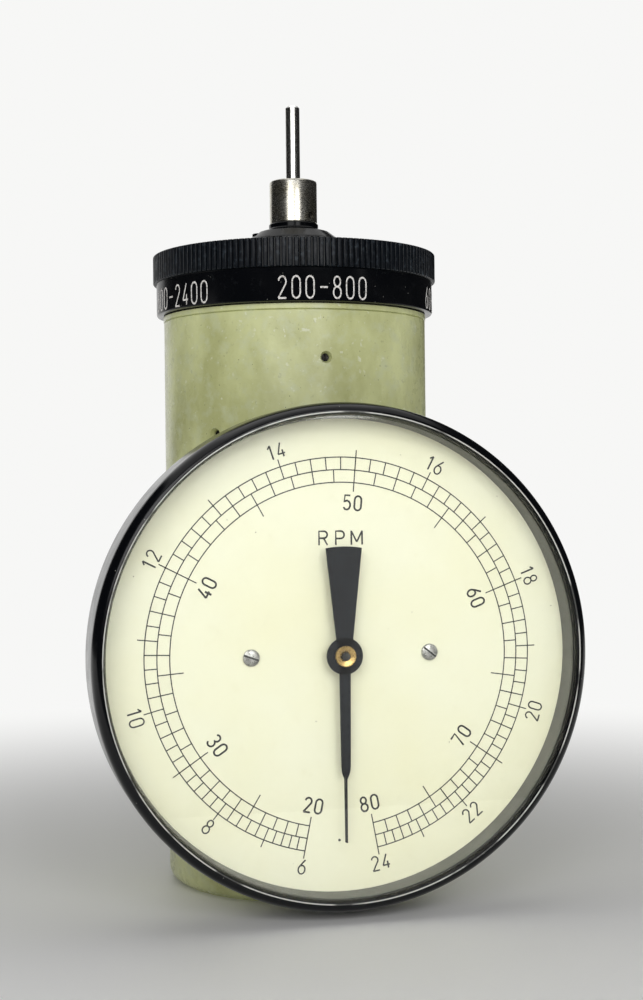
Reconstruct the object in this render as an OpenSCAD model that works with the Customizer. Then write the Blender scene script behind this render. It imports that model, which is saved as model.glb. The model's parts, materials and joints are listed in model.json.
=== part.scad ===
// Hand tachometer with a centrifugal governor, five speed ranges and a large round dial.
// The spindle points up along Z and the dial faces -Y. The origin is the centre of the
// flat rear cap, on the axis of the round body. All lengths are in millimetres.

/* [Body] */
// Outer diameter of the round body
body_d = 64.4; // [60:0.2:70]
// Wall of the body tube
body_wall = 2.4; // [1.6:0.1:3]
// Height of the body's shoulder under the range ring
body_len = 137.5; // [136:0.5:150]
// Thickness of the rear cap below the body tube
cap_t = 5; // [4:0.5:8]
// Rounding of the rear cap's edge
cap_round = 3.4; // [1:0.2:4]
// Height of the rear cap's spigot inside the tube
spigot_h = 9; // [6:0.5:12]
// Height of the turned lip at the top of the body
lip_h = 1.1; // [0.6:0.1:2]
// Diameter of the slotted screws in the body wall
body_screw_d = 2.6; // [2:0.1:3]

/* [Dial case and bezel] */
// Outer diameter of the bezel
bezel_d = 112; // [108:0.5:116]
// Height of the bezel's lowest point above the rear cap's face
bezel_lift = 2; // [1:0.5:6]
// Height of the bezel's crest over the dial plate
crest_h = 8.3; // [7.5:0.1:10]
// Width of the bezel's rounded shoulder outside its crest
shoulder_w = 2.2; // [1.8:0.1:2.6]
// Width of the bezel's lip inside its crest
lip_w = 0.85; // [0.6:0.05:1.6]
// Length of the bezel's skirt behind the dial plate
skirt_h = 6.2; // [4:0.1:8]
// Gap between the dial case and the top of the body
case_gap = 1.2; // [0.8:0.1:3]
// Floor of the dial case
case_floor = 1.6; // [1.2:0.1:2]
// Wall of the dial case
case_wall = 1.8; // [1.4:0.1:2.2]
// Room for the dial movement under the dial plate
movement_depth = 6.5; // [6.3:0.1:8]
// Diameter of the round saddle under the dial case
saddle_d = 52; // [44:1:58]

/* [Dial] */
// Thickness of the dial plate
plate_t = 1; // [0.8:0.1:1.5]
// Width of the spacer ring's slope from the bezel's lip to the dial plate
slope_w = 0.35; // [0.2:0.05:0.8]
// Thickness of the glass
glass_t = 1.6; // [1.2:0.1:2]
// Height of the glass over the dial plate
glass_lift = 5.4; // [5.2:0.1:6]
// Height of the pointer over the dial plate
pointer_lift = 3; // [2.4:0.1:3.4]
// Length of the pointer from its axis to its tip
pointer_len = 41.2; // [36:0.2:44]
// Length of the pointer's fan tail
tail_len = 24.2; // [18:0.2:28]
// Distance of each dial screw from the centre
dial_screw_x = 20.4; // [18:0.2:28]
// Diameter of the dial screws' heads
dial_screw_d = 3.8; // [3:0.1:4.4]

/* [Range ring] */
// Diameter of the ring's plain band
band_d = 68; // [67.4:0.1:69]
// Height of the plain band
band_h = 7.8; // [7:0.1:10]
// Diameter over the ring's ribs
knurl_d = 69.6; // [69:0.1:71]
// Height of the ribs
knurl_h = 6.8; // [6:0.1:9]
// Number of ribs
ribs = 152; // [100:2:180]
// Depth of the grooves between the ribs
rib_depth = 0.6; // [0.3:0.05:0.7]

/* [Nose] */
// Diameter of the polished collar
collar_d = 11.7; // [11:0.1:13]
// Length of the collar
collar_h = 10.5; // [8:0.1:14]
// Diameter of the black boss under the collar
boss_d = 12.2; // [12:0.1:14]
// Height of the black boss above its shoulder
boss_h = 4.2; // [4:0.1:8]
// Diameter of the shoulder that holds the ring
shoulder_d = 23.6; // [23.2:0.1:25]
// Diameter of the spindle
spindle_d = 3.5; // [3:0.1:4]
// Length of spindle that stands out of the collar
spindle_out = 18.7; // [14:0.1:24]

/* [Gear train] */
// Module of the gear train
gear_m = 0.6; // [0.58:0.01:0.62]
// Width of each gear
gear_w = 2.4; // [2:0.1:2.5]
// Distance from one gear level to the next
level_h = 3; // [2.9:0.05:3.2]
// Diameter of the idler and pick-off shafts
shaft_d = 3; // [2.4:0.1:3.2]
// Thickness of the lower gear plate and the governor plate
frame_t = 4; // [3.6:0.1:5]
// Distance between the two screwed plates
plate_pitch = 17.2; // [16:0.1:20]

/* [Governor] */
// Diameter of the governor shaft
governor_d = 4; // [3.6:0.1:4.4]
// Distance of each flyweight's pivot from the axis
pivot_r = 13; // [12.6:0.1:13.4]
// Length of a flyweight's toe
toe_len = 9; // [8.8:0.1:9.2]
// Height of a flyweight above its pivot
weight_h = 18; // [14:0.5:18.5]
// Height of the flyweight pivots above the rear cap's face
pivot_z = 48; // [46:0.5:50]
// Wire diameter of the governor spring
wire_d = 1; // [0.7:0.1:1.2]

/* [Hidden] */

// Shared fits and overruns
fit = 0.05;
gap = 0.3;
over = 1;
fine = 96;
coarse = 32;

// Body
body_r = body_d / 2;
bore_r = body_r - body_wall;
neck_r = body_r - 1.3;
neck_bore_r = neck_r - 2.1;
lip_out = 0.15;
lip_groove = 0.35;
screw_r = body_screw_d / 2;
screw_head_r = screw_r * 1.65;
screw_head_h = screw_r * 0.9;
slot_w = screw_r * 0.5;

// Range ring heights
ring_z = body_len + gap;
knurl_z = ring_z + band_h;
ring_top = knurl_z + knurl_h;
ring_face_t = 2.5;
ring_under = ring_top - ring_face_t;
ring_bore_r = neck_r + 0.1;
neck_top = ring_under - gap;
ring_cone_z = ring_top + 2.8;
rib_chamfer = 0.5;
rib_root_share = 0.42;
rib_tip_share = 0.3;
ring_step = 0.35;

// Range gear and its screw
range_m = 0.8;
range_teeth = 32;
screw_teeth = range_teeth / 2;
range_gear_h = 2.1;
range_centre = range_m * (range_teeth + screw_teeth) / 2;
range_shift = 0.3;
screw_core_r = 1.9;
ranges = 5;
range_step = 360 / ranges;
screw_turn = 2 * range_step * (ranges - 1);

// Gear plates and gear levels
upper_t = 2;
upper_top = ring_under - range_gear_h - 2 * gap;
upper_z = upper_top - upper_t;
fork_plate_t = 0.8;
fork_play = 0.15;
level_0 = upper_z - gear_w / 2 - fork_play - fork_plate_t - 3.5 * gap;
levels = [for (k = [0 : ranges - 1]) level_0 - k * level_h];
lower_top = levels[ranges - 1] - gear_w / 2 - fork_play - fork_plate_t - 2.2 * gap;
lower_z = lower_top - frame_t;
lower_mid = lower_top - frame_t / 2;
governor_plate_top = lower_mid - plate_pitch + frame_t / 2;
governor_plate_z = governor_plate_top - frame_t;
governor_plate_mid = governor_plate_z + frame_t / 2;
output_z = lower_z - gap - gear_w / 2 - 0.7;

// Teeth of the train, with long pinion teeth and short wheel teeth
wheel_n = 40;
pinion_n = 12;
mid_wheel_n = 39;
mid_pinion_n = 13;
tooth_shift = 0.4;
pressure = 20;
addendum_share = 0.85;
dedendum_share = 1.15;
flank_shares = [0.03, 0.5, 1];
tooth_slack = 0.05;
slow_slack = 0.2;
slow_lead = 1.35;
centre = gear_m * (wheel_n + pinion_n) / 2;
idler_a = 90;
pickoff_a = 30;
shaft_r = shaft_d / 2;
pillar_r = 2;
pillar_ring_d = 48;

// Spindle and nose
spindle_r = spindle_d / 2;
journal_step = 0.25;
relief = 0.2;
journal_r = spindle_r + journal_step;
stem_r = 10.4;
ring_hole_r = stem_r + 0.4;
shoulder_z = ring_cone_z + gap;
shoulder_t = 1.1;
boss_z = shoulder_z + shoulder_t;
boss_top = boss_z + boss_h;
collar_top = boss_top + collar_h;
tip_z = collar_top + spindle_out;
tip_point = 0.5;
bush_wall = 1.6;
neck_spigot_r = 4.4;
neck_spigot_h = 4.4;
collar_screw_z = boss_top + 1.5;
collar_screw_a = 55;
nose_screw_x = 8.4;
nose_screw_r = 1.3;
nose_head_r = 2;
nose_head_h = 1.5;
dome_h = 2.7;
spindle_low = lower_z + 1.2;
front_bush_h = collar_h - neck_spigot_h - 2 * gap - 2 * fit;

// Governor
shaft_g = governor_d / 2;
governor_top = output_z + gear_w / 2 + gap;
governor_low = cap_t + spigot_h;
toe_a = 20;
toe_r = 1.2;
stroke = 6.1087;
ear_r = 2.6;
pin_r = 1;
weight_w = 5;
block_w = 16;
block_in = 4.4;
block_out = 2.2;
block_z = 6;
ear_t = 1.8;
carrier_h = 3;
carrier_wall = 3;
coil_gap = 2.4;
carrier_top = pivot_z - 6;
sleeve_r = 4;
flange_r = 7;
flange_h = 2;
flange_z = pivot_z - toe_len * sin(toe_a) + toe_r + 0.2;
spool_z = pivot_z + weight_h + 5;
spool_gap = 2.2;
spool_cheek = 1.4;
spool_r = 6.4;
groove_r = 3;
sleeve_top = spool_z + spool_gap + 2 * spool_cheek;
spring_free = 20;
spring_turns = 6;
seat_h = 3;
bush_r = shaft_g + bush_wall;

// Follower fork and rack
fork_t = 1.6;
fork_z = spool_z + spool_cheek + (spool_gap - fork_t) / 2;
fork_w = 6;
guide_y = 22;
guide_r = 1.5;
guide_boss_r = 3;
guide_boss_h = 6;
slot_x0 = -9;
slot_x1 = 5;
slot_z0 = fork_z - 3.5;
slot_z1 = fork_z + fork_t + stroke + 3.5;

// Dial, in heights from the body's axis towards the viewer
dial_z = bezel_d / 2 + bezel_lift;
case_back = body_r + case_gap;
case_in = case_back + case_floor;
plate_back = case_in + movement_depth;
plate_front = plate_back + plate_t;
crest_d = bezel_d - 2 * shoulder_w;
lip_d = crest_d - 2 * lip_w;
plate_view_d = lip_d - 2 * slope_w;
bezel_wall = 1.3;
case_r = bezel_d / 2 - bezel_wall;
case_bore_r = case_r - case_wall;
case_round = 3;
stack_r = case_r - 0.4;
stack_bore = stack_r + 0.1;
bezel_fit_r = case_r + 0.1;
crest_z = plate_front + crest_h;
glass_z = plate_front + glass_lift;
glass_top = glass_z + glass_t;
gasket_t = 0.4;
lip_under = glass_top + gasket_t;
bezel_round = 3.4;
lip_drop = 0.35;
lip_edge = 0.2;

// Dial movement
dial_m = 0.5;
dial_wheel_n = 36;
dial_pinion_n = 12;
dial_centre = dial_m * (dial_wheel_n + dial_pinion_n) / 2;
train_a = 150;
arbor_x = dial_centre * cos(train_a);
arbor_z = dial_centre * sin(train_a);
rack_t = 1.5;
train_t = 1;
movement_t = 1;
level_gap = 0.4;
rack_level = case_in + movement_t + level_gap;
train_level = rack_level + rack_t + level_gap;
bridge_level = train_level + train_t + level_gap;
bridge_t = 1;
rack_x = arbor_x + dial_m * (dial_pinion_n / 2 + tooth_shift);
rack_w = 3;
rack_low = arbor_z - stroke - 5;
rack_end = arbor_z + 4;
arbor_r = 0.9;
pivot_pin_r = 0.6;
post_r = 1.6;
post_places = [[-19, -8], [16, 8], [14, -12]];
boss_r = 2.35;
boss_len = 2.7;
hub_r = 4.1;
pointer_t = 0.5;
boss_low = plate_front + pointer_lift - 1.2;

module dial_frame() translate([0, 0, dial_z]) rotate([90, 0, 0]) children();
module polar(r, a) rotate([0, 0, a]) translate([r, 0, 0]) children();
module place(p, z) translate([p[0], p[1], z]) children();
function polar_point(r, a) = [r * cos(a), r * sin(a)];

// Angle, in degrees, that an involute has turned through at pressure angle a
function involute(a) = tan(a) * 180 / PI - a;
function base_r(n, m) = m * n / 2 * cos(pressure);
function half_tooth(n, m, x, slack) =
  ((PI / 2 + 2 * x * tan(pressure)) * m / 2 - slack) / (m * n / 2) * 180 / PI;
function flank_a(n, m, x, r, slack) = half_tooth(n, m, x, slack) + involute(pressure)
  - (r <= base_r(n, m) ? 0 : involute(acos(base_r(n, m) / r)));
function root_r(n, m, x) = m * (n / 2 - dedendum_share + x);
function tip_r(n, m, x) = m * (n / 2 + addendum_share + x);
function flank_radii(n, m, x) =
  let (low = max(root_r(n, m, x), base_r(n, m)), high = tip_r(n, m, x))
  concat([root_r(n, m, x)], [for (s = flank_shares) low + (high - low) * s]);
function gear_points(n, m, x, slack = tooth_slack) = [for (i = [0 : n - 1], side = [-1, 1])
  let (radii = flank_radii(n, m, x), count = len(radii))
  for (k = [0 : count - 1])
    let (r = radii[side < 0 ? k : count - 1 - k])
    polar_point(r, i * 360 / n + side * flank_a(n, m, x, r, slack))];

// Phase of a gear's first tooth, so that it meshes with a gear whose teeth and phase are known
function mate(line_a, n1, phase1, n2) =
  line_a + 180 - (180 - (line_a - phase1) * n1) / n2;

module gear(n, m, x, w, hole, phase) rotate([0, 0, phase]) difference() {
  linear_extrude(w) polygon(gear_points(n, m, x));
  translate([0, 0, -over]) cylinder(h = w + 2 * over, r = hole, $fn = fine);
}

// Phases of the train, worked out from the spindle's pinion
phase_b1 = mate(idler_a, pinion_n, 0, wheel_n);
phase_p = mate(-30, wheel_n, phase_b1, pinion_n);
phase_d = mate(pickoff_a + 180, pinion_n, phase_p, wheel_n);
phase_a1 = mate(pickoff_a + 180, pinion_n, phase_p, mid_wheel_n);
phase_b1s = mate(idler_a, mid_wheel_n, phase_a1, mid_pinion_n);
phase_b2 = mate(150, pinion_n, phase_p, wheel_n);
phase_a1s = mate(idler_a + 180, wheel_n, phase_b2, pinion_n);
phase_b2s = mate(idler_a, mid_wheel_n, phase_a1 - slow_lead, mid_pinion_n);
phase_g = mate(pickoff_a + 180, wheel_n, 0, pinion_n);

module level_gear(k, n, x, hole, phase)
  translate([0, 0, levels[k] - gear_w / 2]) gear(n, gear_m, x, gear_w, hole, phase);

// A slotted countersunk screw that lies along X, with its head's face at x = 0
module wall_screw(len) rotate([0, -90, 0]) difference() {
  union() {
    translate([0, 0, -screw_head_h])
      cylinder(h = screw_head_h, r1 = screw_r, r2 = screw_head_r, $fn = coarse);
    translate([0, 0, -len]) cylinder(h = len - screw_head_h / 2, r = screw_r, $fn = coarse);
  }
  translate([-screw_head_r - over, -slot_w / 2, -screw_head_h * 0.6])
    cube([2 * (screw_head_r + over), slot_w, screw_head_h + over]);
}

// A slim grub screw, sunk in the wall, and its countersunk hole
module grub_screw() rotate([0, -90, 0]) translate([0, 0, screw_sink - grub_sink]) difference() {
  translate([0, 0, -grub_len]) cylinder(h = grub_len, r = grub_r, $fn = coarse);
  translate([-grub_r - over, -grub_slot_w / 2, -grub_slot_h])
    cube([2 * (grub_r + over), grub_slot_w, grub_slot_h + over]);
}

module grub_hole() rotate([0, -90, 0]) {
  translate([0, 0, -grub_mouth_h])
    cylinder(h = grub_mouth_h + screw_sink, r1 = grub_r + fit, r2 = grub_mouth_r + fit, $fn = coarse);
  translate([0, 0, screw_sink - fit]) cylinder(h = over, r = grub_mouth_r + fit, $fn = coarse);
  translate([0, 0, -screw_len]) cylinder(h = screw_len, r = grub_r + fit, $fn = coarse);
}

module wall_screw_hole(len) rotate([0, -90, 0]) {
  translate([0, 0, -screw_head_h - fit])
    cylinder(h = screw_head_h + fit, r1 = screw_r + fit, r2 = screw_head_r + fit, $fn = coarse);
  translate([0, 0, -fit]) cylinder(h = over, r = screw_head_r + fit, $fn = coarse);
  translate([0, 0, -len]) cylinder(h = len, r = screw_r + fit, $fn = coarse);
}

// Places of the screws in the body wall: angle about the axis, then height
cap_screw_z = cap_t + spigot_h / 2;
upper_screws = [for (a = [0, 120, 240]) [a - 90, lower_mid]];
lower_screws = [for (a = [0, 120, 240]) [a - 90 - 48.5, governor_plate_mid]];
cap_screws = [for (a = [0, 120, 240]) [a - 30, cap_screw_z]];
screw_sink = 0.5;
screw_len = 9;
cap_screw_len = 6.2;
grub_r = 0.9;
grub_mouth_r = 1.35;
grub_mouth_h = 0.5;
grub_sink = 1.5;
grub_len = 7;
grub_slot_w = 0.4;
grub_slot_h = 0.6;

module at_wall(place_az) rotate([0, 0, place_az[0]])
  translate([body_r - screw_sink, 0, place_az[1]]) mirror([1, 0, 0]) children();

module follower_slot(low, high)
  translate([slot_x0, -high, slot_z0]) cube([slot_x1 - slot_x0, high - low, slot_z1 - slot_z0]);

module case_screw_places() for (x = [-1, 1], z = [-1, 1])
  dial_frame() translate([x * case_screw_x, z * case_screw_z, 0]) children();
case_screw_x = 12;
case_screw_z = 19;
case_screw_r = 1.4;
case_head_r = 2.6;
case_head_h = 1.8;
case_screw_low = 24;

module body_housing() color("#a9b08a") difference() {
  union() {
    rotate_extrude($fn = fine) polygon([
      [bore_r, cap_t], [body_r, cap_t], [body_r, body_len - lip_h - lip_groove],
      [body_r - lip_groove, body_len - lip_h - lip_groove / 2], [body_r + lip_out, body_len - lip_h],
      [body_r + lip_out, body_len], [neck_r, body_len], [neck_r, neck_top],
      [neck_bore_r, neck_top], [neck_bore_r, body_len - body_wall], [bore_r, body_len - body_wall]
    ]);
  }
  for (s = concat(upper_screws, lower_screws)) at_wall(s) grub_hole();
  for (s = cap_screws) at_wall(s) wall_screw_hole(screw_len);
  case_screw_places() cylinder(h = case_in, r = case_screw_r + fit, $fn = coarse);
  follower_slot(0, body_r + over);
}

module rear_cap() color("#a9b08a") difference() {
  rotate_extrude($fn = fine) difference() {
    union() {
      translate([0, cap_round]) square([body_r, cap_t - cap_round]);
      square([body_r - cap_round, cap_t]);
      intersection() {
        translate([body_r - cap_round, cap_round]) circle(r = cap_round, $fn = fine);
        square([body_r, cap_t]);
      }
      difference() {
        square([bore_r - fit, cap_t + spigot_h]);
        translate([bush_r + 3 * bush_wall, cap_t])
          square([bore_r - body_wall - bush_r - 3 * bush_wall, spigot_h + over]);
      }
    }
    translate([-body_r, 0]) square([body_r, cap_t + spigot_h]);
  }
  translate([0, 0, cap_t - fit]) cylinder(h = spigot_h + over, r = bush_r + fit / 2, $fn = fine);
  for (s = cap_screws) at_wall(s) wall_screw_hole(screw_len);
}

module rear_cap_screws() color("silver") for (s = cap_screws) at_wall(s) wall_screw(cap_screw_len);

module body_screws() color("silver") {
  for (s = concat(upper_screws, lower_screws)) at_wall(s) grub_screw();
}

module dial_case() color("#a9b08a") difference() {
  dial_frame() difference() {
    union() {
      rotate_extrude($fn = 2 * fine) polygon(concat([[0, plate_back], [0, case_back]],
        [for (t = [0 : 15 : 90]) [case_r - case_round + case_round * sin(t),
          case_back + case_round - case_round * cos(t)]],
        [[case_r, plate_back]]));
      cylinder(h = case_back + fit, r = saddle_d / 2, $fn = fine);
    }
    rotate_extrude($fn = 2 * fine) polygon([[0, case_in], [case_bore_r - case_round / 2, case_in],
      [case_bore_r, case_in + case_round / 2], [case_bore_r, plate_back + over],
      [0, plate_back + over]]);
    translate([0, 0, -over]) cylinder(h = over + fit, r = saddle_d, $fn = fine);
  }
  cylinder(h = 2 * dial_z, r = body_r + fit, $fn = fine);
  case_screw_places() cylinder(h = case_in + over, r = case_screw_r + fit, $fn = coarse);
  follower_slot(0, case_in + over);
}

module case_screws() color("silver") case_screw_places() translate([0, 0, case_in]) difference() {
  union() {
    cylinder(h = case_head_h, r = case_head_r, $fn = coarse);
    translate([0, 0, case_screw_low - case_in])
      cylinder(h = case_in - case_screw_low + fit, r = case_screw_r, $fn = coarse);
  }
  translate([-case_head_r - over, -case_screw_r / 4, case_head_h / 2])
    cube([2 * (case_head_r + over), case_screw_r / 2, case_head_h]);
}

module bezel() color("#15151a") dial_frame() rotate_extrude($fn = 2 * fine) polygon(concat(
  [[bezel_fit_r, plate_front - skirt_h], [bezel_d / 2, plate_front - skirt_h]],
  [for (t = [0 : 15 : 90]) [
    crest_d / 2 + (bezel_d / 2 - crest_d / 2) * cos(t),
    crest_z - bezel_round + bezel_round * sin(t)]],
  [[(crest_d + lip_d) / 4, crest_z - lip_drop], [lip_d / 2, lip_under + lip_edge],
   [lip_d / 2, lip_under],
   [stack_bore, lip_under], [stack_bore, plate_back], [bezel_fit_r, plate_back]]));

module glass_gasket() color("#202020") dial_frame() translate([0, 0, glass_top]) difference() {
  cylinder(h = gasket_t, r = stack_r, $fn = 2 * fine);
  translate([0, 0, -over]) cylinder(h = gasket_t + 2 * over, r = lip_d / 2 + gap, $fn = 2 * fine);
}

module dial_glass() color([0.8, 0.9, 0.95, 0.3]) dial_frame() translate([0, 0, glass_z])
  cylinder(h = glass_t, r = stack_r, $fn = 2 * fine);

module spacer_ring() color("#8b8d8c") dial_frame() rotate_extrude($fn = 2 * fine) polygon([
  [plate_view_d / 2, plate_front], [stack_r, plate_front], [stack_r, glass_z],
  [(plate_view_d + lip_d) / 4 + gap / 2, glass_z]]);

module dial_plate() color("#efead0") dial_frame() translate([0, 0, plate_back]) difference() {
  cylinder(h = plate_t, r = stack_r, $fn = 2 * fine);
  translate([0, 0, -over]) cylinder(h = plate_t + 2 * over, r = boss_r + 2 * gap, $fn = fine);
  for (x = [-1, 1]) translate([x * dial_screw_x, 0, -over])
    cylinder(h = plate_t + 2 * over, r = dial_shank_r + fit, $fn = coarse);
}

dial_shank_r = 0.9;
dial_head_h = 0.9;
dial_slot_a = [-20, -38];

module dial_screws() color("silver") dial_frame() for (i = [0, 1])
  translate([(2 * i - 1) * dial_screw_x, 0, plate_front]) difference() {
    union() {
      cylinder(h = dial_head_h, r = dial_screw_d / 2, $fn = coarse);
      translate([0, 0, -plate_t - bridge_t]) cylinder(h = plate_t + bridge_t + fit, r = dial_shank_r,
        $fn = coarse);
    }
    rotate([0, 0, dial_slot_a[i]]) translate([-dial_screw_d, -dial_shank_r / 3, dial_head_h / 2])
      cube([2 * dial_screw_d, dial_shank_r * 2 / 3, dial_head_h]);
  }

// Flat bar with round ends, from point p to point q
module bar(p, q, r) {
  translate(p) circle(r = r, $fn = coarse);
  translate(q) circle(r = r, $fn = coarse);
  translate(p) rotate(atan2(q[1] - p[1], q[0] - p[0])) translate([0, -r]) square([norm(q - p), 2 * r]);
}
movement_end_r = 3.6;
movement_half_w = 12.5;

module movement_plate() color("#c8a64b") dial_frame() translate([0, 0, case_in]) difference() {
  linear_extrude(movement_t) difference() {
    translate([-dial_screw_x, -movement_half_w]) square([2 * dial_screw_x, 2 * movement_half_w]);
    for (x = [-1, 1], z = [-1, 1]) translate([x * case_screw_x, z * case_screw_z])
      circle(r = case_head_r + 2.5 * gap + movement_half_w / 4, $fn = coarse);
  }
  translate([0, 0, -over]) {
    cylinder(h = movement_t + 2 * over, r = pivot_pin_r + fit, $fn = coarse);
    place([arbor_x, arbor_z], 0) cylinder(h = movement_t + 2 * over, r = pivot_pin_r + fit,
      $fn = coarse);
  }
}

module movement_bridge() color("#c8a64b") dial_frame() difference() {
  union() {
    translate([0, 0, bridge_level]) linear_extrude(bridge_t) {
      bar([-dial_screw_x, 0], [dial_screw_x, 0], movement_end_r);
      for (p = post_places) bar(p, [p[0] / 2, 0], post_r);
      bar([arbor_x, arbor_z], [arbor_x, 0], post_r * 1.1);
    }
    for (p = post_places) place(p, case_in + movement_t)
      cylinder(h = bridge_level - case_in - movement_t + fit, r = post_r, $fn = coarse);
  }
  cylinder(h = plate_front, r = arbor_r + fit, $fn = coarse);
  place([arbor_x, arbor_z], 0) cylinder(h = plate_front, r = pivot_pin_r + fit, $fn = coarse);
  for (x = [-1, 1]) translate([x * dial_screw_x, 0, 0])
    cylinder(h = plate_front, r = dial_shank_r + fit, $fn = coarse);
}

// The rack turns this arbor, and its wheel turns the pointer's pinion
wheel_phase = mate(train_a, dial_pinion_n, 0, dial_wheel_n);

module movement_arbor() color("#c8a64b") dial_frame() place([arbor_x, arbor_z], 0) {
  translate([0, 0, rack_level - level_gap / 2]) gear(dial_pinion_n, dial_m, tooth_shift,
    train_level - rack_level + level_gap / 2, pivot_pin_r - fit, 0);
  translate([0, 0, train_level])
    gear(dial_wheel_n, dial_m, -tooth_shift, train_t, pivot_pin_r - fit, wheel_phase);
  translate([0, 0, case_in + fit]) cylinder(h = bridge_level + bridge_t - case_in - 2 * fit,
    r = pivot_pin_r, $fn = coarse);
}

module pointer_arbor() color("#d8d8d8") dial_frame() {
  translate([0, 0, train_level]) gear(dial_pinion_n, dial_m, tooth_shift, train_t, pivot_pin_r, 0);
  translate([0, 0, case_in + fit])
    cylinder(h = rack_level - case_in - fit, r = pivot_pin_r, $fn = coarse);
  translate([0, 0, rack_level])
    cylinder(h = boss_low + boss_len - rack_level + 0.25, r = arbor_r, $fn = coarse);
}

// Flat spiral that takes up the play of the teeth
spiral_turns = 4;
spiral_in = 1.2;
spiral_out = 3.2;
spiral_w = 0.14;
spiral_h = 0.6;
module hairspring() color("#6d7f9a") dial_frame() translate([0, 0, rack_level + 0.5])
  linear_extrude(spiral_h) polygon([for (side = [0, 1], k = [0 : 96])
    let (i = side == 0 ? k : 96 - k, share = i / 96)
    polar_point(spiral_in + (spiral_out - spiral_in) * share + side * spiral_w,
      share * spiral_turns * 360)]);

// Pointer: fan tail above the hub and a long tapering arm that hangs below it
tail_w = 8.3;
tail_neck_w = 3;
arm_root_w = 2.6;
arm_w = 2.1;
blade_w = 0.8;
blade_t = 1.3;
blade_from = 25;
module pointer() color("#101318") dial_frame()
  translate([0, 0, plate_front + pointer_lift]) difference() {
    union() {
      cylinder(h = pointer_t, r = hub_r, $fn = fine);
      linear_extrude(pointer_t) {
        intersection() {
          polygon([[-tail_neck_w / 2, 0], [tail_neck_w / 2, 0], [tail_w / 2, tail_len],
            [-tail_w / 2, tail_len]]);
          circle(r = tail_len, $fn = fine);
        }
        polygon([[-arm_root_w / 2, 0], [arm_root_w / 2, 0], [arm_w / 2, -blade_from],
          [-arm_w / 2, -blade_from]]);
        polygon([[-arm_w / 2, -blade_from], [arm_w / 2, -blade_from],
          [blade_w / 2, -blade_from - 2 * arm_w], [-blade_w / 2, -blade_from - 2 * arm_w]]);
      }
      translate([-blade_w / 4, -pointer_len, pointer_t - blade_t])
        cube([blade_w / 2, pointer_len - blade_from - arm_w, blade_t]);
    }
    translate([0, 0, -over]) cylinder(h = pointer_t + 2 * over, r = boss_neck_r + fit, $fn = coarse);
  }
boss_neck_r = 1.6;

module pointer_boss() color("#c9a24a") dial_frame() difference() {
  union() {
    translate([0, 0, plate_front + pointer_lift + pointer_t])
      cylinder(h = boss_low + boss_len - plate_front - pointer_lift - pointer_t, r = boss_r,
        $fn = coarse);
    translate([0, 0, boss_low]) cylinder(h = boss_len, r = boss_neck_r, $fn = coarse);
  }
  cylinder(h = 2 * plate_front, r = arbor_r + fit / 2, $fn = coarse);
}

module nose_boss() color("#121216") difference() {
  rotate_extrude($fn = fine) polygon([
    [journal_r + 2 * gap, upper_top], [stem_r, upper_top], [stem_r, shoulder_z],
    [shoulder_d / 2, shoulder_z], [shoulder_d / 2, boss_z - shoulder_t / 3],
    [shoulder_d / 2 - shoulder_t / 3, boss_z],
    [(shoulder_d + boss_d) / 4, boss_z + dome_h * 0.7], [boss_d / 2 + gap, boss_z + dome_h],
    [boss_d / 2, boss_z + dome_h + gap], [boss_d / 2, boss_top - gap],
    [boss_d / 2 - gap, boss_top], [neck_spigot_r, boss_top],
    [neck_spigot_r, boss_top + neck_spigot_h], [journal_r + 2 * gap, boss_top + neck_spigot_h]]);
  for (x = [-1, 1]) translate([x * nose_screw_x, 0, upper_top - over])
    cylinder(h = 2 * boss_z, r = nose_screw_r + fit, $fn = coarse);
  for (x = [-1, 1]) translate([x * nose_screw_x, 0, boss_z])
    cylinder(h = boss_h, r = nose_head_r + fit, $fn = coarse);
  rotate([0, 0, -collar_screw_a]) translate([0, 0, collar_screw_z]) rotate([0, 90, 0])
    cylinder(h = collar_d, r = collar_screw_r + fit, $fn = coarse);
}

module nose_screws() color("#1c1c20") for (x = [-1, 1]) translate([x * nose_screw_x, 0, boss_z])
  difference() {
    union() {
      cylinder(h = nose_head_h, r = nose_head_r, $fn = coarse);
      translate([0, 0, upper_z - boss_z + fit])
        cylinder(h = boss_z - upper_z, r = nose_screw_r, $fn = coarse);
    }
    translate([-nose_head_r - over, -nose_screw_r / 4, nose_head_h / 2])
      cube([2 * (nose_head_r + over), nose_screw_r / 2, nose_head_h]);
  }

collar_screw_r = 1.1;
collar_round = 0.4;
module nose_collar() color("#c9c6bb") difference() {
  rotate_extrude($fn = fine) polygon([
    [neck_spigot_r + fit, boss_top], [collar_d / 2, boss_top],
    [collar_d / 2, collar_top - collar_round], [collar_d / 2 - collar_round, collar_top],
    [journal_r + gap, collar_top], [journal_r + gap, collar_top - 2 * gap],
    [journal_r + bush_wall + fit / 2, collar_top - 2 * gap],
    [journal_r + bush_wall + fit / 2, boss_top + neck_spigot_h],
    [neck_spigot_r + fit, boss_top + neck_spigot_h]]);
  rotate([0, 0, -collar_screw_a]) translate([0, 0, collar_screw_z]) rotate([0, 90, 0])
    cylinder(h = collar_d, r = collar_screw_r + fit, $fn = coarse);
}

module collar_screw() color("#8d8a82") rotate([0, 0, -collar_screw_a])
  translate([0, 0, collar_screw_z]) rotate([0, 90, 0]) difference() {
    translate([0, 0, journal_r + 3 * gap])
      cylinder(h = collar_d / 2 - 5 * gap - journal_r, r = collar_screw_r, $fn = coarse);
    translate([-collar_screw_r - over, -collar_screw_r / 5, collar_d / 2 - 3 * gap])
      cube([2 * (collar_screw_r + over), collar_screw_r * 2 / 5, over]);
  }

module spindle_bush_front() color("#b08d57")
  translate([0, 0, boss_top + neck_spigot_h + fit]) difference() {
    cylinder(h = front_bush_h, r = journal_r + bush_wall, $fn = coarse);
    translate([0, 0, -over]) cylinder(h = front_bush_h + 2 * over, r = journal_r + fit, $fn = fine);
  }

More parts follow.
